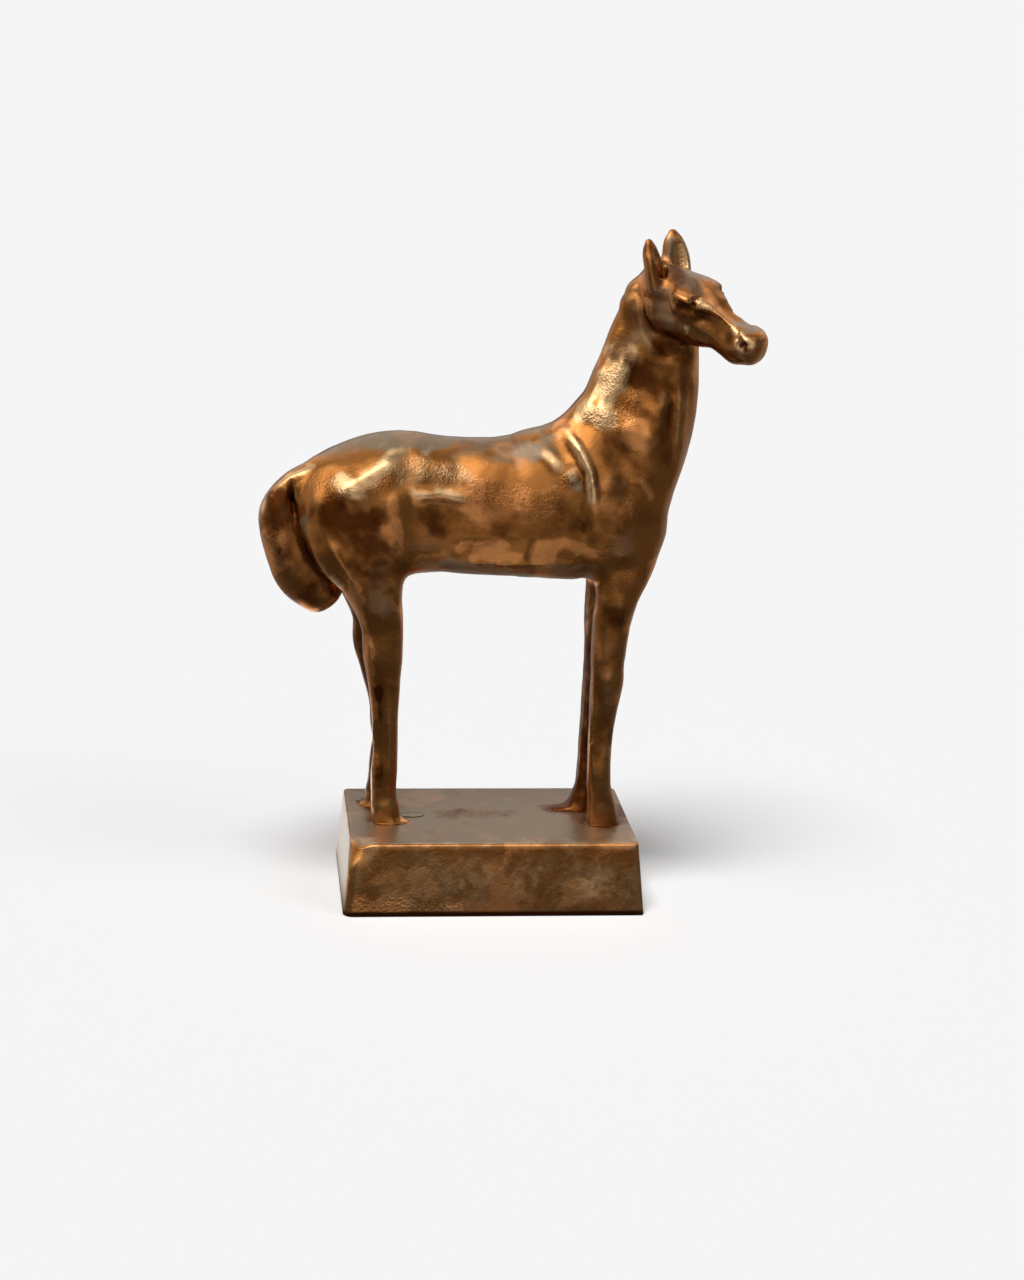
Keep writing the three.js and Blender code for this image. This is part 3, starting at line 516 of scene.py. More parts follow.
def horse_form():
    body = [add(sweep(TRUNK, squareness=2.3, pear=-0.1, underside=1.6))]
    body.append(add(sweep(NECK, squareness=2.4, pear=-0.2), join=6))
    for leg in (NEAR_HIND, FAR_HIND, NEAR_FORE, FAR_FORE):
        body.append(add(sweep(leg, squareness=2.6), join=4))
    steps = [
        add(relieved(sculpt(body), RELIEF, middle_y, BODY_FADE)),
        add(relieved(sweep(TAIL, squareness=2.1), TAIL_RELIEF, middle_y, TAIL_FADE), join=2),
        add(lump(*WITHERS), join=6),
        add(placed(head_form(), head_frame()), join=1.4),
    ]
    steps += [add(lump((x, y, GROUND), size), join=1.6) for x, y, *size in SMEARS]
    return sculpt(steps)


# Meshing: one vertex in each cell that the skin passes through, and a face round each lattice edge
# that it crosses. Cells above a level are half as wide, because the head's forms are small.

FINE_STEP = 0.41  # mm
FINE_FROM_Z = 170.0
FIRST_CELL = 16  # in fine steps
SETTLE_ROUNDS = 40
SLACK = 2.0  # how many cell widths from its middle the skin may seem to be, and still be in a cell
CORNERS = np.array([(x, y, z) for z in (0, 1) for y in (0, 1) for x in (0, 1)])
SIDES = [(0, 2, 6, 4), (1, 3, 7, 5), (0, 1, 5, 4), (2, 3, 7, 6), (0, 1, 3, 2), (4, 5, 7, 6)]
HAIR = 1e-3  # mm, how far inside or outside a node is put when its side is changed


class Lattice:
    def __init__(self, form):
        self.low = form.low - FIRST_CELL / 2 * FINE_STEP
        cells = np.ceil((form.high - self.low) / (FINE_STEP * FIRST_CELL)).astype(int) + 1
        self.count = cells * FIRST_CELL
        self.stride = np.array([1, self.count[0], self.count[0] * self.count[1]])
        self.fine_from = 2 * int((FINE_FROM_Z - self.low[2]) / FINE_STEP / 2)

    def key(self, nodes):
        return nodes @ self.stride

    def place(self, nodes):
        return self.low + FINE_STEP * nodes


def split(cells, size):
    return (cells[:, None] + size * CORNERS).reshape(-1, 3)


def cells_near_skin(form, lattice):
    """Coarse cells, two steps wide, and fine ones that may hold some skin, by their lowest corners."""
    size = FIRST_CELL
    ranges = [np.arange(0, count, size) for count in lattice.count]
    cells = np.stack(np.meshgrid(*ranges, indexing="ij"), axis=-1).reshape(-1, 3)

    def near(cells, size):
        middles = lattice.place(cells + size / 2)
        return cells[np.abs(form.distance(middles)) < SLACK * size * FINE_STEP]

    cells = near(cells, size)
    while size > 2:
        size //= 2
        cells = near(split(cells, size), size)
    high = cells[:, 2] >= lattice.fine_from
    return cells[~high], near(split(cells[high], 1), 1)


def settled(values, sides):
    """Values that leave no cell side with one diagonal inside and one outside, which pinches the skin."""
    for _ in range(SETTLE_ROUNDS):
        around = values[sides]
        inside = around < 0
        opposite = inside[:, [2, 3, 0, 1]]
        pinched = (inside == opposite).all(axis=1) & (inside[:, 0] != inside[:, 1])
        if not pinched.any():
            break
        least = np.argmin(np.abs(around[pinched]), axis=1)
        nodes = sides[pinched][np.arange(len(least)), least]
        values[nodes] = np.where(values[nodes] < 0, HAIR, -HAIR)
    return values


def crossed_edges(form, lattice, levels):
    """Where the skin crosses cell edges: size, lowest nodes, axis, crossings, which face up the axis."""
    corners = [split(cells, size) for size, cells in levels]
    keys, first = np.unique(lattice.key(np.concatenate(corners)), return_index=True)
    nodes = np.concatenate(corners)[first]
    tables = [np.searchsorted(keys, lattice.key(group)).reshape(-1, 8) for group in corners]
    sides = np.concatenate([table[:, side] for table in tables for side in SIDES])
    values = settled(form.distance(lattice.place(nodes)), sides)
    for (size, _), table in zip(levels, tables):
        for axis in range(3):
            low = np.unique(table[:, CORNERS[:, axis] == 0])
            high = np.searchsorted(keys, keys[low] + size * lattice.stride[axis])
            crossed = (values[low] < 0) != (values[high] < 0)
            if axis < 2 and size == 2:
                crossed &= nodes[low][:, 2] < lattice.fine_from  # fine cells have their own edges there
            low, high = low[crossed], high[crossed]
            share = values[low] / (values[low] - values[high])
            points = nodes[low] + size * share[:, None] * np.eye(3)[axis]
            yield size, nodes[low], axis, points, values[low] < 0


def cells_round(nodes, axis, size, lattice):
    """The four cells round each edge, in order, as seen from up its axis."""
    b, c = (axis + 1) % 3, (axis + 2) % 3
    cells = np.repeat(nodes[:, None], 4, axis=1)
    cells[:, [0, 3], b] -= size
    cells[:, [0, 1], c] -= size
    coarse = cells[..., 2] < lattice.fine_from
    cells[coarse] &= ~1
    return lattice.key(cells)


def skin(form):
    """Vertices in millimetres, and faces of three or four corners."""
    lattice = Lattice(form)
    rings, points = [], []
    coarse, fine = cells_near_skin(form, lattice)
    for size, nodes, axis, crossings, faces_up in crossed_edges(form, lattice, [(2, coarse), (1, fine)]):
        ring = cells_round(nodes, axis, size, lattice)
        ring[~faces_up] = ring[~faces_up, ::-1]
        rings.append(ring)
        points.append(crossings)
    rings, points = np.concatenate(rings), np.concatenate(points)
    used, corners = np.unique(rings, return_inverse=True)
    corners = corners.reshape(-1, 4)
    share = np.bincount(corners.ravel(), minlength=len(used))
    sums = [np.bincount(corners.ravel(), np.repeat(points[:, axis], 4), len(used)) for axis in range(3)]
    vertices = lattice.place(np.stack(sums, axis=1) / share[:, None])
    faces = []
    for face in corners.tolist():
        kept = [v for i, v in enumerate(face) if v != face[i - 1]]
        if len(kept) > 2:
            faces.append(kept)
    return vertices, faces


# Plinth

CORNER_STEPS = 6
EDGE_STEPS = 5
SIDE_SPACING = 2  # mm between vertices along a side and up it


def plinth_ring(half_length, half_width, radii, z):
    """A rounded rectangle, counter-clockwise from the corner at +X +Y, with vertices along its sides."""
    arcs = []
    for corner, (sx, sy) in enumerate([(1, 1), (-1, 1), (-1, -1), (1, -1)]):
        radius = radii[corner]
        turns = (corner + np.arange(CORNER_STEPS + 1) / CORNER_STEPS) * math.pi / 2
        x = sx * (half_length - radius) + radius * np.cos(turns)
        y = sy * (half_width - radius) + radius * np.sin(turns)
        arcs.append(np.stack([x, y, np.full(len(turns), z)], axis=1))
    points = []
    counts = [round(PLINTH["length"] / SIDE_SPACING), round(PLINTH["width"] / SIDE_SPACING)] * 2
    for arc, following, count in zip(arcs, arcs[1:] + arcs[:1], counts):
        share = np.arange(1, count)[:, None] / count
        points += [arc, arc[-1] + share * (following[0] - arc[-1])]
    return np.concatenate(points)


# The front left corner of the top is worn round: where, how far from there, by how much and which way
WORN_CORNER = (-PLINTH["length"] / 2, -PLINTH["width"] / 2, PLINTH["height"])
CORNER_REACH = 7.0
CORNER_LOSS = 2.3
CORNER_WAY = np.array([0.6, 0.5, -0.62])


def plinth_mesh():
    p = PLINTH
    height, edge = p["height"], p["edge_radius"]
    levels = [(0, p["foot_chamfer"]), (p["foot_chamfer"], 0)]
    wall = round(height / SIDE_SPACING)
    levels += [(height * n / wall, 0) for n in range(1, wall)]
    for step in range(EDGE_STEPS + 1):
        angle = step / EDGE_STEPS * math.pi / 2
        levels.append((height - edge * (1 - math.sin(angle)), edge * (1 - math.cos(angle))))
    insets = np.linspace(edge, p["width"] / 2, round(p["width"] / 2 / SIDE_SPACING) + 1)
    levels += [(height, inset) for inset in insets[1:]]
    vertices = []
    for z, inset in levels:
        drop = 1 - z / height
        half_length = p["length"] / 2 + p["end_batter"] * drop - inset
        half_width = p["width"] / 2 + p["side_batter"] * drop - inset
        radii = [max(0.0, radius - inset) for radius in p["corner_radii"]]
        vertices.append(plinth_ring(half_length, half_width, radii, z))
    count = len(vertices[0])
    faces = [list(range(count))[::-1]]
    for level in range(len(levels) - 1):
        for n in range(count):
            a, b = level * count + n, level * count + (n + 1) % count
            faces.append([a, b, b + count, a + count])
    vertices = np.concatenate(vertices)
    away = np.linalg.norm(vertices - WORN_CORNER, axis=1) / CORNER_REACH
    loss = CORNER_LOSS * (1 - np.minimum(1, away) ** 2) ** 2
    return vertices + loss[:, None] * CORNER_WAY, faces


# Meshes

SAME_PLACE = 1e-4  # mm


def make_object(name, data):
    made = bpy.data.objects.new(name, data)
    bpy.context.scene.collection.objects.link(made)
    return made


def mesh_object(name, vertices, faces):
    mesh = bpy.data.meshes.new(name)
    mesh.from_pydata((vertices * MM).tolist(), [], faces)
    mesh.update()
    return make_object(name, mesh)


def apply_modifiers(piece):
    graph = bpy.context.evaluated_depsgraph_get()
    mesh = bpy.data.meshes.new_from_object(piece.evaluated_get(graph))
    piece.modifiers.clear()
    piece.data = mesh


def merged(piece):
    """Merges vertices in one place and drops faces with no area."""
    work = bmesh.new()
    work.from_mesh(piece.data)
    bmesh.ops.remove_doubles(work, verts=work.verts, dist=SAME_PLACE * MM)
    bmesh.ops.dissolve_degenerate(work, edges=work.edges, dist=SAME_PLACE * MM)
    work.to_mesh(piece.data)
    work.free()


def vectors(items, name):
    """A vector of each of a mesh's items."""
    values = np.empty(len(items) * 3)
    items.foreach_get(name, values)
    return values.reshape(-1, 3)


SEED_STEP = 17.3  # how far apart the noise of two seeds lies


def wave(points, size, seed):
    """Smooth noise from -1 to 1 whose swells are about that many millimetres across."""
    scaled = points / size + seed * SEED_STEP
    return np.array([noise.noise(Vector(point)) for point in scaled])


def waves(points, rows):
    """The sum of waves, each given by its height, size and seed."""
    return sum(height * wave(points, size, seed) for height, size, seed in rows)


# The hand-worked skin: the waves that it swells in, and the heights between which they set in
SWELLS = [(0.26, 10, 10), (0.1, 4.5, 4.5), (0.03, 2, 2)]
SWELLS_FROM = (GROUND + 1, GROUND + 8)
BOX_MARGIN = 0.01


def roughen(piece):
    mesh = piece.data
    points = vectors(mesh.vertices, "co") / MM
    rise = waves(points, SWELLS) * smoothstep(points[:, 2], *SWELLS_FROM)
    moved = points + rise[:, None] * vectors(mesh.vertex_normals, "vector")
    moved = np.clip(moved, np.array(CAD_LOW) / MM + BOX_MARGIN, np.array(CAD_HIGH) / MM - BOX_MARGIN)
    mesh.vertices.foreach_set("co", (moved * MM).ravel())
    mesh.update()


def casting():
    horse = mesh_object("horse", *skin(horse_form()))
    roughen(horse)
    plinth = mesh_object("plinth", *plinth_mesh())
    merged(plinth)
    union = horse.modifiers.new("plinth", "BOOLEAN")
    union.operation = "UNION"
    union.solver = "MANIFOLD"
    union.object = plinth
    apply_modifiers(horse)
    bpy.data.objects.remove(plinth)
    horse.name = "bronze_horse_casting"
    horse.data.name = horse.name
    horse.data.shade_smooth()
    return horse


# Marks of age and wear, and painted highlights, shade and reflections, each kept on the mesh as a value
# from 0 to 1

FINE_ROUNDS = 10  # rounds of smoothing that show fine hollows and ridges
BROAD_ROUNDS = 90

# Places, most of them on the right side: a line of points, the width of the place, and how much
# Mostly painted highlights, golden and smooth: the hip, the croup's end, the flank and its rib edge, the
# shoulder ridge, the withers, the neck and the tail's rim; and a broad gold patch on the plinth's front
HIGHLIGHTS_AND_WEAR = [
    ([(-47.5, -11, 128.4), (-42.5, -12.4, 124.6)], 3.8, 0.9),
    ([(-39, -12.3, 129), (-33, -11.5, 132.6), (-29, -9.4, 136.4)], 3.6, 0.8),
    ([(-57, -3, 130.5)], 3, 0.8),
    ([(-26, -11, 132), (-13, -12, 130.5)], 8, 0.45),
    ([(-25.6, -12.8, 124.2), (-20, -12.8, 124.4)], 1.8, 0.9),
    ([(-19, -12.8, 125), (-15, -12.8, 125), (-10.6, -12.8, 124)], 2.2, 1),
    ([(19, -8, 144.4), (21.2, -10, 140.8), (23.8, -12, 136.6)], 2, 1),
    ([(23.8, -12, 136.6), (26.2, -13.6, 131.4), (27.1, -14, 124)], 2, 1),
    ([(12, -11, 138), (17.6, -12.3, 132.6)], 2.4, 0.8),
    ([(24, -7, 148), (29, -7, 157), (32, -7, 163)], 4, 1),
    ([(30, -8, 151), (35, -8, 161), (38, -8, 167)], 4.2, 1),
    ([(32, -5, 166), (42, -7.5, 170)], 5, 0.5),
    ([(48.5, -9, 152.8)], 3.5, 0.3),
    ([(-30, -30, 9), (40, -30, 9)], 14, 0.36),
    ([(25, -8, 149), (32, -9, 146.6)], 4.6, 0.8),
    ([(-69.6, -2, 118), (-67, -2.5, 124), (-62, -2.5, 128), (-55, -3, 130.5)], 1.8, 0.9),
]
# Redder copper patina in patches, with a painted reflection of the floor on the flank's low plane and a
# thin painted highlight along the plinth's top front edge
COPPER_AND_REFLECTIONS = [
    # painted reflection of the floor on the flank's low plane, which faces down
    ([(-10.6, -12.8, 109.4), (1, -13.2, 108.8)], 3.4, 0.9),
    # the same painted reflection of the floor, lower on that plane
    ([(-7, -12.8, 106), (5, -13.2, 106.2)], 3, 0.9),
    ([(12.6, -13.2, 108), (20, -13, 110.5), (28, -12.2, 106.5)], 3, 0.65),
    ([(39, -11.7, 143), (43, -11.5, 140)], 6, 1),
    ([(30, -13.5, 127), (35, -14, 129.6), (42, -12.8, 128), (45, -12, 124.5)], 2.4, 0.7),
    ([(-6, -13.6, 121), (14, -13.6, 121)], 8, 0.55),
    ([(-52.6, -9, 113.6), (-47, -11.5, 104.6), (-43, -12.5, 98), (-40.6, -12.6, 92)], 2.4, 1),
    ([(-31, -14, 124), (-30, -14, 108)], 3, 0.8),
    ([(-42.3, -11, 93.2), (-39.1, -10.6, 86.3), (-37.6, -9.6, 78.5)], 2.2, 1),
    ([(-37.6, -9.6, 78.5), (-36.8, -8.6, 65.3), (-36, -8.4, 56)], 2.2, 1),
    ([(40, -9, 90), (38.6, -10, 84)], 3, 1),
    ([(36.4, -10, 67), (35, -10.5, 62)], 2.6, 1),
    ([(-67, -4, 110), (-64, -5, 102)], 4, 0.8),
    ([(-40, -30, 4), (-28, -30, 3)], 4.5, 1),
    ([(-12, -30.6, 3), (6, -30.5, 2.5)], 3, 0.7),
    # a thin painted highlight along the plinth's top front edge
    ([(-42, -28.6, 21.6), (42, -28.6, 21.6)], 0.9, 0.3),
    ([(-34, -29.6, 12), (-20, -29.6, 10)], 6, 0.5),
    ([(24, -29.4, 9), (34, -29.4, 4)], 6, 0.5),
    ([(-26, -7, 22.6)], 3, 0.9),
    ([(-10, -29.6, 14), (14, -29.6, 8)], 9, 0.45),
]
# Dark umber patina in places, and painted shade: over the near thigh, along the flank's middle band and
# the belly's edge, in the slit between tail and thigh, and under the jaw
UMBER_AND_SHADE = [
    # painted shade over the near thigh
    ([(-48, -12.5, 118), (-38, -13.5, 108)], 11, 0.9),
    # painted shade over the near thigh, below the hip
    ([(-36, -12.5, 117)], 7, 0.6),
    # painted shade in the flank's middle band
    ([(-22, -13, 118), (-10, -13.4, 116.6)], 5, 0.5),
    # painted shade along the lower edge of the flank's middle band
    ([(-20, -13, 114), (22, -13.2, 114)], 4, 0.45),
    ([(8.6, -13.3, 106), (10, -13.3, 110)], 2, 0.6),
    # painted shade along the belly's lower edge
    ([(-22, -11, 102.4), (28, -11.6, 102)], 2.6, 0.3),
    # painted shade in the slit between tail and thigh
    ([(-57.4, -6.6, 107.6), (-56, -6, 103.4)], 2.8, 1),
    ([(41, -9, 160), (45, -10, 153)], 6, 0.4),
    # painted shadow under the jaw
    ([(46, -8, 168), (54, -6, 165)], 5, 0.8),
    ([(30, -11.8, 138), (37, -12.2, 134.8), (43, -11.8, 131), (48, -11, 128)], 4, 0.35),
    ([(23, -14, 124), (25, -14, 113)], 3.4, 0.5),
    ([(38, -10, 100), (36, -10, 84), (34.4, -10, 50), (34, -10, 26)], 9, 0.45),
    ([(36, -14, 122), (37, -13, 112)], 8, 0.4),
    ([(-34.4, -9.6, 64), (-33.6, -9, 34)], 1.8, 1),
    # painted shade on the tail's side next to the thigh
    ([(-62, -4.6, 104), (-55, -4.8, 97), (-51, -4, 92)], 7, 0.5),
    ([(-62, 0, 124), (-64, 0, 112), (-60, 0, 98), (-50, 0, 89)], 9, 0.45),
    # painted shade where tail and thigh meet
    ([(-52, -2, 96), (-47, -2, 92)], 3, 1),
    ([(-13, 1, 22.3), (1, 1, 22.3)], 7, 0.5),
    ([(36, -6, 22.3), (42, 4, 22.3)], 8, 0.85),
    ([(-10, -4, 138.5), (8, -4, 137.5)], 4, 0.4),
    ([(44, -8, 174), (47, -8, 160), (48.6, -9, 148), (48, -10, 138)], 8, 0.6),
    ([(36, -6.4, 178), (40, -7, 170)], 6, 0.6),
    ([(42, -8.6, 161), (46.5, -8.6, 155)], 5, 0.85),
    ([(35, -9.6, 152), (42.6, -9.8, 149)], 3.4, 0.75),
    ([(31, -12, 142), (36, -12.6, 137)], 5, 0.4),
    ([(38, -9, 166), (41, -9.6, 158)], 4, 0.8),
    # painted shade in the flank's middle band
    ([(-6, -13, 124), (16, -13, 118)], 8, 0.45),
    ([(-66, -4, 122), (-65, -4, 114)], 6, 0.9),
    # painted shade in the slit between tail and thigh
    ([(-61, -3, 126.4), (-60.6, -3, 121), (-58.8, -3, 113.6)], 1, 1),
    # painted shade in the slit between tail and thigh, lower down
    ([(-58.6, -3, 112), (-53.8, -3, 101)], 3, 1),
    ([(-37, 10, 88), (-34, 10, 60), (-33, 10, 26)], 9, 0.9),
    ([(34, 7, 92), (31.5, 7, 55), (30, 7, 24)], 7, 0.9),
    ([(30, 6, 24), (20.5, 6.2, 22.3)], 6, 1),
    # darker along the bottom of the plinth's front
    ([(-44, -31, 0.2), (44, -31, 0.2)], 1.1, 1),
]
# A dull grey film, and painted pale reflections in strips down the forelegs' edges and on the thigh's
# back edge
FILM_AND_REFLECTIONS = [
    ([(34, -11.5, 80), (33.5, -11, 50)], 4, 0.4),
    ([(-36, -13, 102), (-34, -12.3, 90)], 6, 0.6),
    ([(-23, -12, 108)], 5, 0.3),
    ([(-10, -29.6, 14), (14, -29.6, 9)], 9, 0.35),
    # painted pale reflection on the back edge of the near thigh
    ([(-56.4, -6, 115), (-51.8, -9, 105.6), (-46.4, -11, 97)], 2.6, 1),
    ([(-20, -9, 100.8), (28, -9, 100.2)], 3.4, 0.9),
    ([(-22, -11, 102.4), (28, -11.6, 102)], 2.8, 0.8),
    # painted pale reflection down the near foreleg's edge
    ([(30, -5.5, 97), (29.6, -6, 80), (29.4, -6.4, 62), (29.8, -6.4, 50)], 1.7, 1),
    # painted pale reflection down the far foreleg's edge
    ([(31, 4, 92), (30, 4.4, 50)], 1.8, 0.8),
    ([(-36, -4, 140), (-18, -4, 140)], 7, 1),
    ([(38, -6, 182), (41, -7, 172)], 6, 0.5),
    ([(36, -13, 121), (38, -12, 108)], 9, 0.3),
    ([(16, -29.5, 15), (38, -29.5, 9)], 9, 0.4),
    ([(21, -13.4, 131.4), (22.6, -13.4, 127.4)], 3.2, 1),
    ([(-27, 0, 22.6), (-19, 0.4, 22.4)], 5, 1),
    ([(-12, -8, 137.5), (4, -8, 136.5), (14, -8, 138)], 5, 0.8),
]
SANDY = [
    ([(-25, -12, 132.6), (-12, -12.4, 130)], 5, 1),
    ([(-8, -13, 126), (14, -13, 122)], 7, 0.5),
    ([(-55, -8, 128), (-45, -11, 124)], 5, 0.7),
    ([(-38, -12, 124), (-30, -12, 130)], 4, 0.5),
    ([(20, -13, 129)], 4, 0.9),
    ([(27, -8, 158), (34, -8, 160)], 5, 0.9),
    ([(38, -9, 152), (34, -10, 146)], 5, 0.6),
    ([(24, -9, 150), (30, -9, 146)], 5, 0.7),
    ([(-66, -4, 112), (-60, -4, 98)], 6, 0.3),
    ([(40, -13, 120), (37, -12, 98)], 7, 0.3),
    ([(-13, 2.5, 22), (1, 2.5, 22)], 5, 0.9),
    ([(-42, -30.6, 3), (-12, -30.6, 2)], 5, 0.5),
]
# The same on the head, in its own frame
# Painted highlights on the head: the crest down the face, the nostril's rim, the cheek's ridge, between
# the ear tips and on the far ear
HEAD_HIGHLIGHTS_AND_WEAR = [
    ([(19.4, -6, 6.9), (23.4, -5, 7), (27.2, -4.6, 6.4), (31, -4.6, 4.8), (32.8, -4.6, 3.3)], 2.4, 1),
    ([(33.4, -4.2, 3.4), (36, -4.6, 3.1), (38.8, -4.2, 2)], 1.4, 1),
    ([(34.2, -4.6, 1.2), (34.8, -4.8, -0.6)], 1.2, 1),
    ([(18.4, -7, -1.6), (18.3, -7, -4.6)], 1.1, 0.9),
    ([(-2.4, -6, 15), (-2.6, 6, 15)], 1.6, 0.5),
    ([(4, 6.8, 8), (2, 6.8, 14)], 2.4, 0.9),
]
HEAD_COPPER_AND_REFLECTIONS = [
    ([(-1, -6.5, 8), (2, -7, 2.4), (5.5, -6, -4), (8.7, -5.8, -8.5)], 2.2, 1),
    # painted light on the top of the near eyelid
    ([(11.9, -8, 6.2), (15, -8, 7), (18.6, -7.4, 6.6)], 2.4, 1),
    ([(11.8, -8, 5), (12.4, -8, 2.6), (14.2, -8, 0.8)], 1.5, 0.9),
    ([(20, -3, 7), (32, -2, 5)], 4, 0.5),
    ([(4, 5, 9), (2, 5, 15)], 3, 1),
    ([(0, -8.4, 6), (-2.4, -8, 12), (-2.6, -6.6, 16)], 1.6, 1),
]
HEAD_SANDY = [
    ([(19, -5.8, 6.8), (25, -5, 6.8), (32, -4.4, 4)], 3, 0.6),
    ([(2, 5, 8), (0, 6, 14)], 4, 0.6),
]
# Umber patina on the head, and painted shade under the eyelid, below the eye, under the crest and in the
# nostril
HEAD_UMBER_AND_SHADE = [
    ([(1, -7, 7), (-1.5, -7, 15)], 5, 0.4),
    # painted shadow under the near eyelid
    ([(14.6, -7.6, 3.5), (17, -7.6, 3.8), (19, -7.2, 4.6)], 1.7, 1),
    # painted shade under the crest down the face
    ([(20, -6, 3.6), (26, -5.2, 3), (31, -4.6, 1)], 2.4, 0.8),
    # painted shade inside the nostril
    ([(36.4, -4.8, 0.7), (37.6, -4.8, 0.1)], 1.2, 1),
    ([(33, -4, -4.5), (37, -3, -4.2)], 1, 0.4),
    ([(-3, 0, 4), (2, -2, 9)], 4, 0.5),
    ([(6, -2, 9), (12, -3, 10), (17, -4.4, 9.4)], 5, 0.65),
    ([(18, -7, 7.4), (18.8, -6.6, 4.6)], 1.3, 0.9),
    # painted shade below the eye
    ([(13.6, -6.6, 1.2), (18.8, -5, 2)], 3.2, 1),
    ([(14, 0, 9.6), (20, 2, 8)], 5, 0.3),
]
HEAD_FILM = [
    ([(7, -7, 3), (10.6, -7, -3)], 7, 0.7),
    ([(6, -2, 9), (11, -3, 9.8), (17, -4.4, 9.2)], 4.6, 0.9),
    ([(14, -6, -3), (24, -5, -3)], 4, 0.5),
    ([(2, 2.6, 7), (0, 3.4, 14)], 2.6, 0.9),
    ([(37, -3, 1), (36, -4, -3)], 4, 0.6),
]


def neighbour_means(mesh, rounds):
    """Where the vertices go when each is drawn towards its neighbours, round after round."""
    edges = np.empty(len(mesh.edges) * 2, int)
    mesh.edges.foreach_get("vertices", edges)
    a, b = edges.reshape(-1, 2).T
    count = len(mesh.vertices)
    degree = np.bincount(a, minlength=count) + np.bincount(b, minlength=count)
    points = vectors(mesh.vertices, "co")
    for _ in range(rounds):
        sums = [np.bincount(a, p[b], count) + np.bincount(b, p[a], count) for p in points.T]
        points = (points + np.stack(sums, axis=1) / degree[:, None]) / 2
    return points


RAGGEDNESS = 0.42
PLACE_EDGE = (0.2, 1.15)  # how many widths from its line a place begins to fade and ends
DOT = (0, 0, 0.01)  # a lone point is marked as a line of this length


def marked(points, places, ragged):
    """How strongly the places cover the points, with ragged edges."""
    total = np.zeros(len(points))
    for line, width, amount in places:
        line = np.array(line, float)
        if len(line) == 1:
            line = np.vstack([line, line + DOT])
        here = beside(points, line, 2 * width)
        away = distance_to_line(points[here], line)[0] / width + RAGGEDNESS * ragged[here]
        total[here] = np.maximum(total[here], amount * (1 - smoothstep(away, *PLACE_EDGE)))
    return total


def keep(mesh, name, values):
    layer = mesh.attributes.new(name, "FLOAT", "POINT")
    layer.data.foreach_set("value", np.clip(values, 0, 1).astype(np.float32))


# Where these marks begin and are whole, and how much: by how far the skin stands out or lies in, how high
# it is over the floor, and how much it faces along Z or X
RIDGE = (0.03, 0.16, 0.27)
CREASE = (0.04, 0.26, 0.6)
DIP = (0.15, 1.1, 0.5)
# FOOT makes the plinth darker towards its bottom edge
FOOT = (1.1, 0.5)
FACING_UP = (0.7, 0.98, 0.9)
FACING_END = (0.8, 0.98)
# Patches that marks have all over: size, seed, the noise where they begin and are whole, and how much
PATCHES = {
    "copper_and_reflection": (10, 4, 0.1, 0.5, 0.6),
    "umber_and_shade": (9, 5, 0.15, 0.6, 0.4),
    "film_and_reflection": (11, 6, 0.1, 0.5, 0.3),
}
# Waves in the edges of places, in the wear and painted highlights, and in the sandiness
RAGGED = [(1, 5, 1), (0.5, 2.2, 2)]
WORN_WAVES = [(0.15, 14, 3)]
SANDY_WAVES = [(0.2, 12, 7)]
SANDY_ALL_OVER = 0.08
FOOT_RAGGED, HEAD_RAGGED = 0.3, 0.6


def patches(points, mark):
    size, seed, *strength = PATCHES[mark]
    return smoothstep(wave(points, size, seed), *strength)


def mark_wear(piece):
    mesh = piece.data
    points = vectors(mesh.vertices, "co") / MM
    normals = vectors(mesh.vertex_normals, "vector")
    fine = ((points - neighbour_means(mesh, FINE_ROUNDS) / MM) * normals).sum(axis=1)
    broad = ((points - neighbour_means(mesh, BROAD_ROUNDS) / MM) * normals).sum(axis=1)
    ragged = waves(points, RAGGED)
    to_head = np.array(head_frame().inverted())
    head_points = points @ to_head[:3, :3].T + to_head[:3, 3]

    def marks(places, head_places):
        on_head = marked(head_points, head_places, HEAD_RAGGED * ragged)
        return np.maximum(marked(points, places, ragged), on_head)

    # Golden where ridges are rubbed, and painted highlights at the places listed
    keep(mesh, "wear_and_highlight", smoothstep(fine, *RIDGE) + waves(points, WORN_WAVES) + marks(HIGHLIGHTS_AND_WEAR, HEAD_HIGHLIGHTS_AND_WEAR))
    # Darker in hollows, and darker towards the plinth's bottom edge
    foot = smoothstep(points[:, 2] - FOOT_RAGGED * ragged, *FOOT)
    keep(mesh, "hollow", smoothstep(-fine, *CREASE) + smoothstep(-broad, *DIP) + foot)
    # Copper patina, and a painted reflection of the floor on the flank's low plane
    keep(mesh, "copper_and_reflection", marks(COPPER_AND_REFLECTIONS, HEAD_COPPER_AND_REFLECTIONS) + patches(points, "copper_and_reflection"))
    # Umber patina, and painted shade at the places listed
    keep(mesh, "umber_and_shade", marks(UMBER_AND_SHADE, HEAD_UMBER_AND_SHADE) + patches(points, "umber_and_shade"))
    keep(mesh, "sandy", SANDY_ALL_OVER + waves(points, SANDY_WAVES) + marks(SANDY, HEAD_SANDY))
    # Faces that look up carry dust, and a painted pale reflection along the croup's top; the plinth's end
    # faces get a painted pale reflection
    flat = smoothstep(normals[:, 2], *FACING_UP)
    ends = smoothstep(np.abs(normals[:, 0]), *FACING_END) * (points[:, 2] < GROUND)
    keep(mesh, "film_and_reflection", flat + ends + marks(FILM_AND_REFLECTIONS, HEAD_FILM) + patches(points, "film_and_reflection"))


# Material

BRONZE = (0.45, 0.168, 0.038, 1)
# Dark of umber patina and hollows, also the colour of painted shade
DARK = (0.12, 0.032, 0.004, 1)
# Red of copper patina, also the colour of the painted floor reflection
COPPERY = (0.93, 0.37, 0.115, 1)
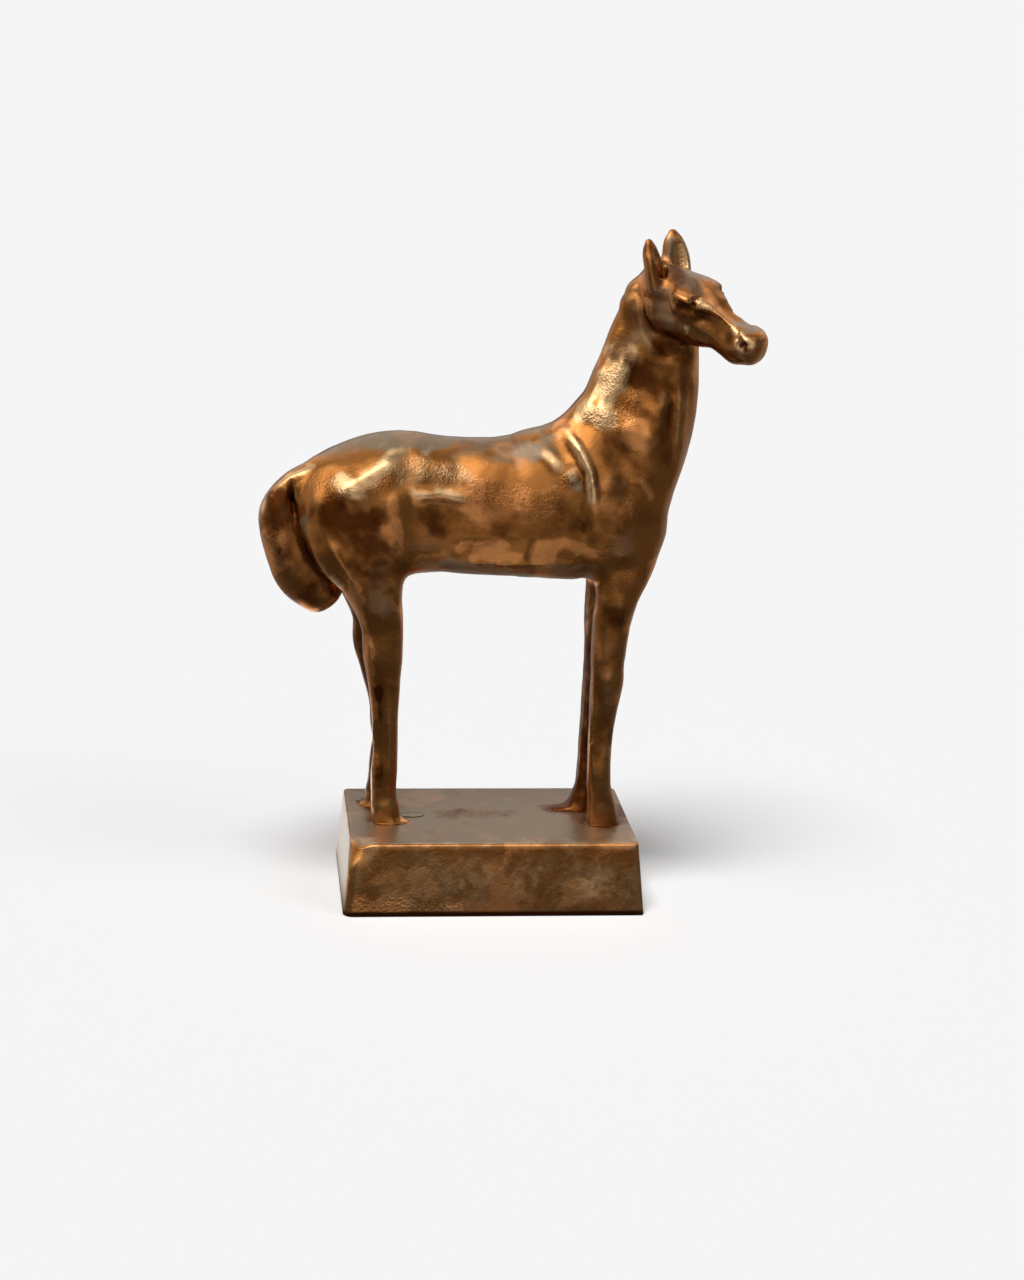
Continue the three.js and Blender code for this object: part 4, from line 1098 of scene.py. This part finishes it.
# Gold of rubbed bronze, also the colour of the painted highlights
GOLD = (0.97, 0.6, 0.29, 1)
# Grey of dust, also the colour of the painted pale reflections
DUST_AND_REFLECTION_GREY = (0.205, 0.175, 0.118, 1)
# Where each look begins and is whole, on its mark and the mottles together, and its least and most
GOLDEN = (0.05, 1.0)
RED = (0.2, 0.75, 0, 0.9)
DEEP = (0.1, 0.98)
DUST_AND_REFLECTION_RANGE = (0.2, 1.1, 0, 0.85)
UMBER_AND_SHADE_SHARE = 0.95
MOTTLE_SHARE = 0.8
GRIT_SHARE = (0.12, 1.4)  # from smooth metal to sandy
# In these lines dust also stands for the painted pale reflections, and what is dark for the painted shade
METALLIC = (1.0, 0.7)  # from clean metal to dusty
ROUGHNESS = (0.23, 0.17)  # from plain metal to golden
ROUGHER = (0.05, 0.1, 0.16)  # by sand, by what is dark and by dust
COAT = {"Coat Weight": 0.1, "Coat Roughness": 0.12, "Coat IOR": 1.5}
SAND_BUMP = (0.02, 1)  # from smooth metal to sandy
MOTTLE_BUMP = 0.3
SAND_SIZE, SAND_HEIGHT = 0.75, 0.3  # mm
MOTTLE_SIZE, MOTTLE_HEIGHT = 3.6, 0.4
BLOTCH_SIZE = 9


class Nodes:
    """Adds nodes to a tree; a socket given as an input is linked, and anything else is its value."""

    def __init__(self, tree):
        self.tree = tree

    def add(self, kind, inputs=None, **settings):
        made = self.tree.nodes.new("ShaderNode" + kind)
        for key, value in settings.items():
            setattr(made, key, value)
        for key, value in (inputs or {}).items():
            self.set(made.inputs[key], value)
        return made

    def set(self, socket, value):
        if isinstance(value, bpy.types.NodeSocket):
            self.tree.links.new(value, socket)
        else:
            socket.default_value = value

    def noise(self, size, detail, roughness=0.55, distortion=0.0):
        """Noise whose swells are about that many millimetres across."""
        place = self.add("TexCoord").outputs["Object"]
        inputs = {"Vector": place, "Scale": 1 / (size * MM), "Detail": detail, "Roughness": roughness}
        return self.add("TexNoise", {**inputs, "Distortion": distortion}).outputs["Fac"]

    def math(self, operation, a, b):
        return self.add("Math", {0: a, 1: b}, operation=operation).outputs[0]

    def ramp(self, value, low, high, to_low=0.0, to_high=1.0):
        inputs = {"Value": value, "From Min": low, "From Max": high, "To Min": to_low, "To Max": to_high}
        return self.add("MapRange", inputs, interpolation_type="SMOOTHSTEP").outputs["Result"]

    def mix(self, factor, a, b):
        """A colour between two, which are inputs 6 and 7 of this node and come out of its output 2."""
        made = self.add("Mix", {0: factor}, data_type="RGBA")
        self.set(made.inputs[6], a)
        self.set(made.inputs[7], b)
        return made.outputs[2]


def bronze_material():
    """Golden where it is worn and in painted highlights, redder in patches and in a painted reflection of
    the floor, dark in hollows and in painted shade, and dull under a film and in painted pale
    reflections.
    """
    material = bpy.data.materials.new("bronze")
    material.use_nodes = True
    n = Nodes(material.node_tree)
    shader = material.node_tree.nodes["Principled BSDF"]
    marks = ("wear_and_highlight", "hollow", "copper_and_reflection", "umber_and_shade", "film_and_reflection", "sandy")
    kept = [n.add("Attribute", attribute_name=mark).outputs["Fac"] for mark in marks]
    wear_and_highlight, hollow, copper_and_reflection, umber_and_shade, film_and_reflection, sandy = kept
    sand = n.noise(SAND_SIZE, detail=2, roughness=0.6)
    mottle = n.noise(MOTTLE_SIZE, detail=4, roughness=0.6, distortion=0.4)
    blotch = n.noise(BLOTCH_SIZE, detail=3, distortion=0.6)

    grit = n.math("MULTIPLY", n.math("SUBTRACT", sand, 0.5), n.ramp(sandy, 0, 1, *GRIT_SHARE))
    mottles = n.math("MULTIPLY", n.math("SUBTRACT", mottle, 0.5), MOTTLE_SHARE)
    blotches = n.math("ADD", n.math("SUBTRACT", blotch, 0.5), mottles)
    specks = n.math("ADD", mottles, grit)
    dark = n.math("ADD", hollow, n.math("MULTIPLY", umber_and_shade, UMBER_AND_SHADE_SHARE))
    golden = n.ramp(n.math("ADD", wear_and_highlight, specks), *GOLDEN)
    red = n.ramp(n.math("ADD", copper_and_reflection, blotches), *RED)
    deep = n.ramp(n.math("ADD", dark, specks), *DEEP)
    dust_and_reflection = n.ramp(n.math("ADD", film_and_reflection, specks), *DUST_AND_REFLECTION_RANGE)
    colour = n.mix(red, BRONZE, COPPERY)
    for look, shade in ((dust_and_reflection, DUST_AND_REFLECTION_GREY), (golden, GOLD), (deep, DARK)):
        colour = n.mix(look, colour, shade)
    rough = n.ramp(golden, 0, 1, *ROUGHNESS)
    for look, extra in zip((sand, deep, dust_and_reflection), ROUGHER):
        rough = n.math("ADD", rough, n.math("MULTIPLY", look, extra))
    n.set(shader.inputs["Base Color"], colour)
    n.set(shader.inputs["Metallic"], n.ramp(dust_and_reflection, 0, 1, *METALLIC))
    n.set(shader.inputs["Roughness"], rough)
    for name, value in COAT.items():
        shader.inputs[name].default_value = value

    strength = n.ramp(sandy, 0, 1, *SAND_BUMP)
    fine = n.add("Bump", {"Strength": strength, "Distance": SAND_HEIGHT * MM, "Height": sand})
    broad = n.add("Bump", {"Strength": MOTTLE_BUMP, "Distance": MOTTLE_HEIGHT * MM, "Height": mottle})
    n.set(broad.inputs["Normal"], fine.outputs[0])
    n.set(shader.inputs["Normal"], broad.outputs[0])
    return material


# Stage, light and camera

PHOTO_HEIGHT = 1280
CAMERA = {
    "azimuth": -5.86,
    "elevation": 13.92,
    "roll": 1.614,
    "distance": 842.2,
    "target": (6.12, 0, 77.34),
    "focal_pixels": 2786.3,
}


def direction(azimuth, elevation):
    """The way to something seen from the sculpture: azimuth is 0 towards -Y and 90 towards +X."""
    azimuth, elevation = math.radians(azimuth), math.radians(elevation)
    flat = math.cos(elevation)
    return Vector((math.sin(azimuth) * flat, -math.cos(azimuth) * flat, math.sin(elevation)))


def make_camera():
    camera = make_object("camera", bpy.data.cameras.new("camera"))
    back = direction(CAMERA["azimuth"], CAMERA["elevation"])
    camera.location = (Vector(CAMERA["target"]) + back * CAMERA["distance"]) * MM
    upright = (-back).to_track_quat("-Z", "Y").to_matrix()
    roll = Matrix.Rotation(math.radians(CAMERA["roll"]), 3, "Z")
    camera.rotation_euler = (upright @ roll).to_euler()
    camera.data.lens = CAMERA["focal_pixels"] / PHOTO_HEIGHT * camera.data.sensor_width
    bpy.context.scene.camera = camera


FLOOR_RADIUS = 40000  # mm
FLOOR_SIDES = 64
PAPER = (0.9, 0.9, 0.9, 1)
BACKDROP = 0.913  # what the camera sees past the floor's edge
# The floor as the metal reflects it, in metres along Y: from one brightness in front to another behind
FLOOR_IN_METAL = (-0.06, 0.12, 0.09, 0.3)
# What is added to it in places: a brightness, and ramps along X or Y from where none is to where all is
FLOOR_PATCHES = [
    (1.5, [("X", -0.044, -0.05), ("X", -0.12, -0.08), ("Y", -0.03, 0.01), ("Y", 0.2, 0.13)]),
    (0.36, [("Y", -0.21, -0.34), ("X", 0.24, 0.08), ("X", -0.24, -0.08)]),
    (0.22, [("X", -0.22, -0.42)]),
    (0.06, [("X", 0.08, 0.16)]),
]
# Soft light that only the floor and the patina's matt side see: azimuth from the camera side towards +X,
# elevation, width in degrees and strength
SUNS = {
    "key": (-24, 68, 28, 3.076),
    "cross": (55, 42, 34, 0.5),
}
# Soft boxes seen in the metal: azimuth, elevation, inner and outer radius in degrees, brightness
SOFT_BOXES = [
    (-28, 48, 9, 30, 1.6),
    (-66, 36, 10, 29, 1.5),
    (-8, 36, 8, 44, 0.66),
    (8, 5, 4, 26, 0.12),
    (-84, 2, 8, 26, 0.22),
    (38, 50, 10, 24, 0.2),
    (84, 36, 14, 30, 0.3),
    (180, 58, 22, 53, 0.8),
    (-128, 14, 14, 42, 0.6),
    (140, 20, 14, 40, 0.35),
]
DARK_ROOM = 0.09


def make_stage():
    turns = np.arange(FLOOR_SIDES) / FLOOR_SIDES * math.tau
    rim = FLOOR_RADIUS * np.stack([np.cos(turns), np.sin(turns), 0 * turns], axis=1)
    floor = mesh_object("floor", rim, [range(FLOOR_SIDES)])
    material = bpy.data.materials.new("paper")
    material.use_nodes = True
    material.node_tree.nodes.clear()
    n = Nodes(material.node_tree)
    paper = n.add("BsdfDiffuse", {"Color": PAPER})
    place = n.add("SeparateXYZ", {0: n.add("TexCoord").outputs["Object"]}).outputs
    seen = n.ramp(place["Y"], *FLOOR_IN_METAL)
    for brightness, ramps in FLOOR_PATCHES:
        patch = brightness
        for axis, none, whole in ramps:
            patch = n.math("MULTIPLY", patch, n.ramp(place[axis], none, whole))
        seen = n.math("ADD", seen, patch)
    glow = n.add("Emission", {"Strength": seen})
    in_metal = n.add("LightPath").outputs["Is Glossy Ray"]
    both = n.add("MixShader", {0: in_metal, 1: paper.outputs[0], 2: glow.outputs[0]})
    n.add("OutputMaterial", {"Surface": both.outputs[0]})
    material.cycles.emission_sampling = "NONE"
    floor.data.materials.append(material)


def make_lights():
    for name, (azimuth, elevation, width, strength) in SUNS.items():
        light = make_object(name, bpy.data.lights.new(name, "SUN"))
        light.data.angle = math.radians(width)
        light.data.energy = strength
        light.rotation_euler = direction(azimuth, elevation).to_track_quat("Z", "Y").to_euler()
        light.visible_glossy = False


def make_world():
    world = bpy.data.worlds.new("studio")
    bpy.context.scene.world = world
    world.use_nodes = True
    world.cycles_visibility.diffuse = False
    n = Nodes(world.node_tree)
    background = world.node_tree.nodes["Background"]
    ray = n.add("TexCoord").outputs["Generated"]
    brightness = DARK_ROOM
    for azimuth, elevation, inner, outer, strength in SOFT_BOXES:
        facing = n.add("VectorMath", {0: ray, 1: direction(azimuth, elevation)}, operation="DOT_PRODUCT")
        low, high = math.cos(math.radians(outer)), math.cos(math.radians(inner))
        box = n.ramp(facing.outputs["Value"], low, high, 0, strength)
        brightness = n.math("ADD", box, brightness)
    to_camera = n.add("LightPath").outputs["Is Camera Ray"]
    level = n.add("Mix", {0: to_camera, 2: brightness, 3: BACKDROP}).outputs[0]
    n.set(background.inputs["Strength"], level)
    background.inputs["Color"].default_value = (1, 1, 1, 1)


piece = casting()
mark_wear(piece)
piece.data.materials.clear()
piece.data.materials.append(bronze_material())
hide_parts(NODE)
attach(piece, "root")
make_stage()
make_lights()
make_world()
make_camera()
bpy.context.scene.view_settings.view_transform = "Standard"
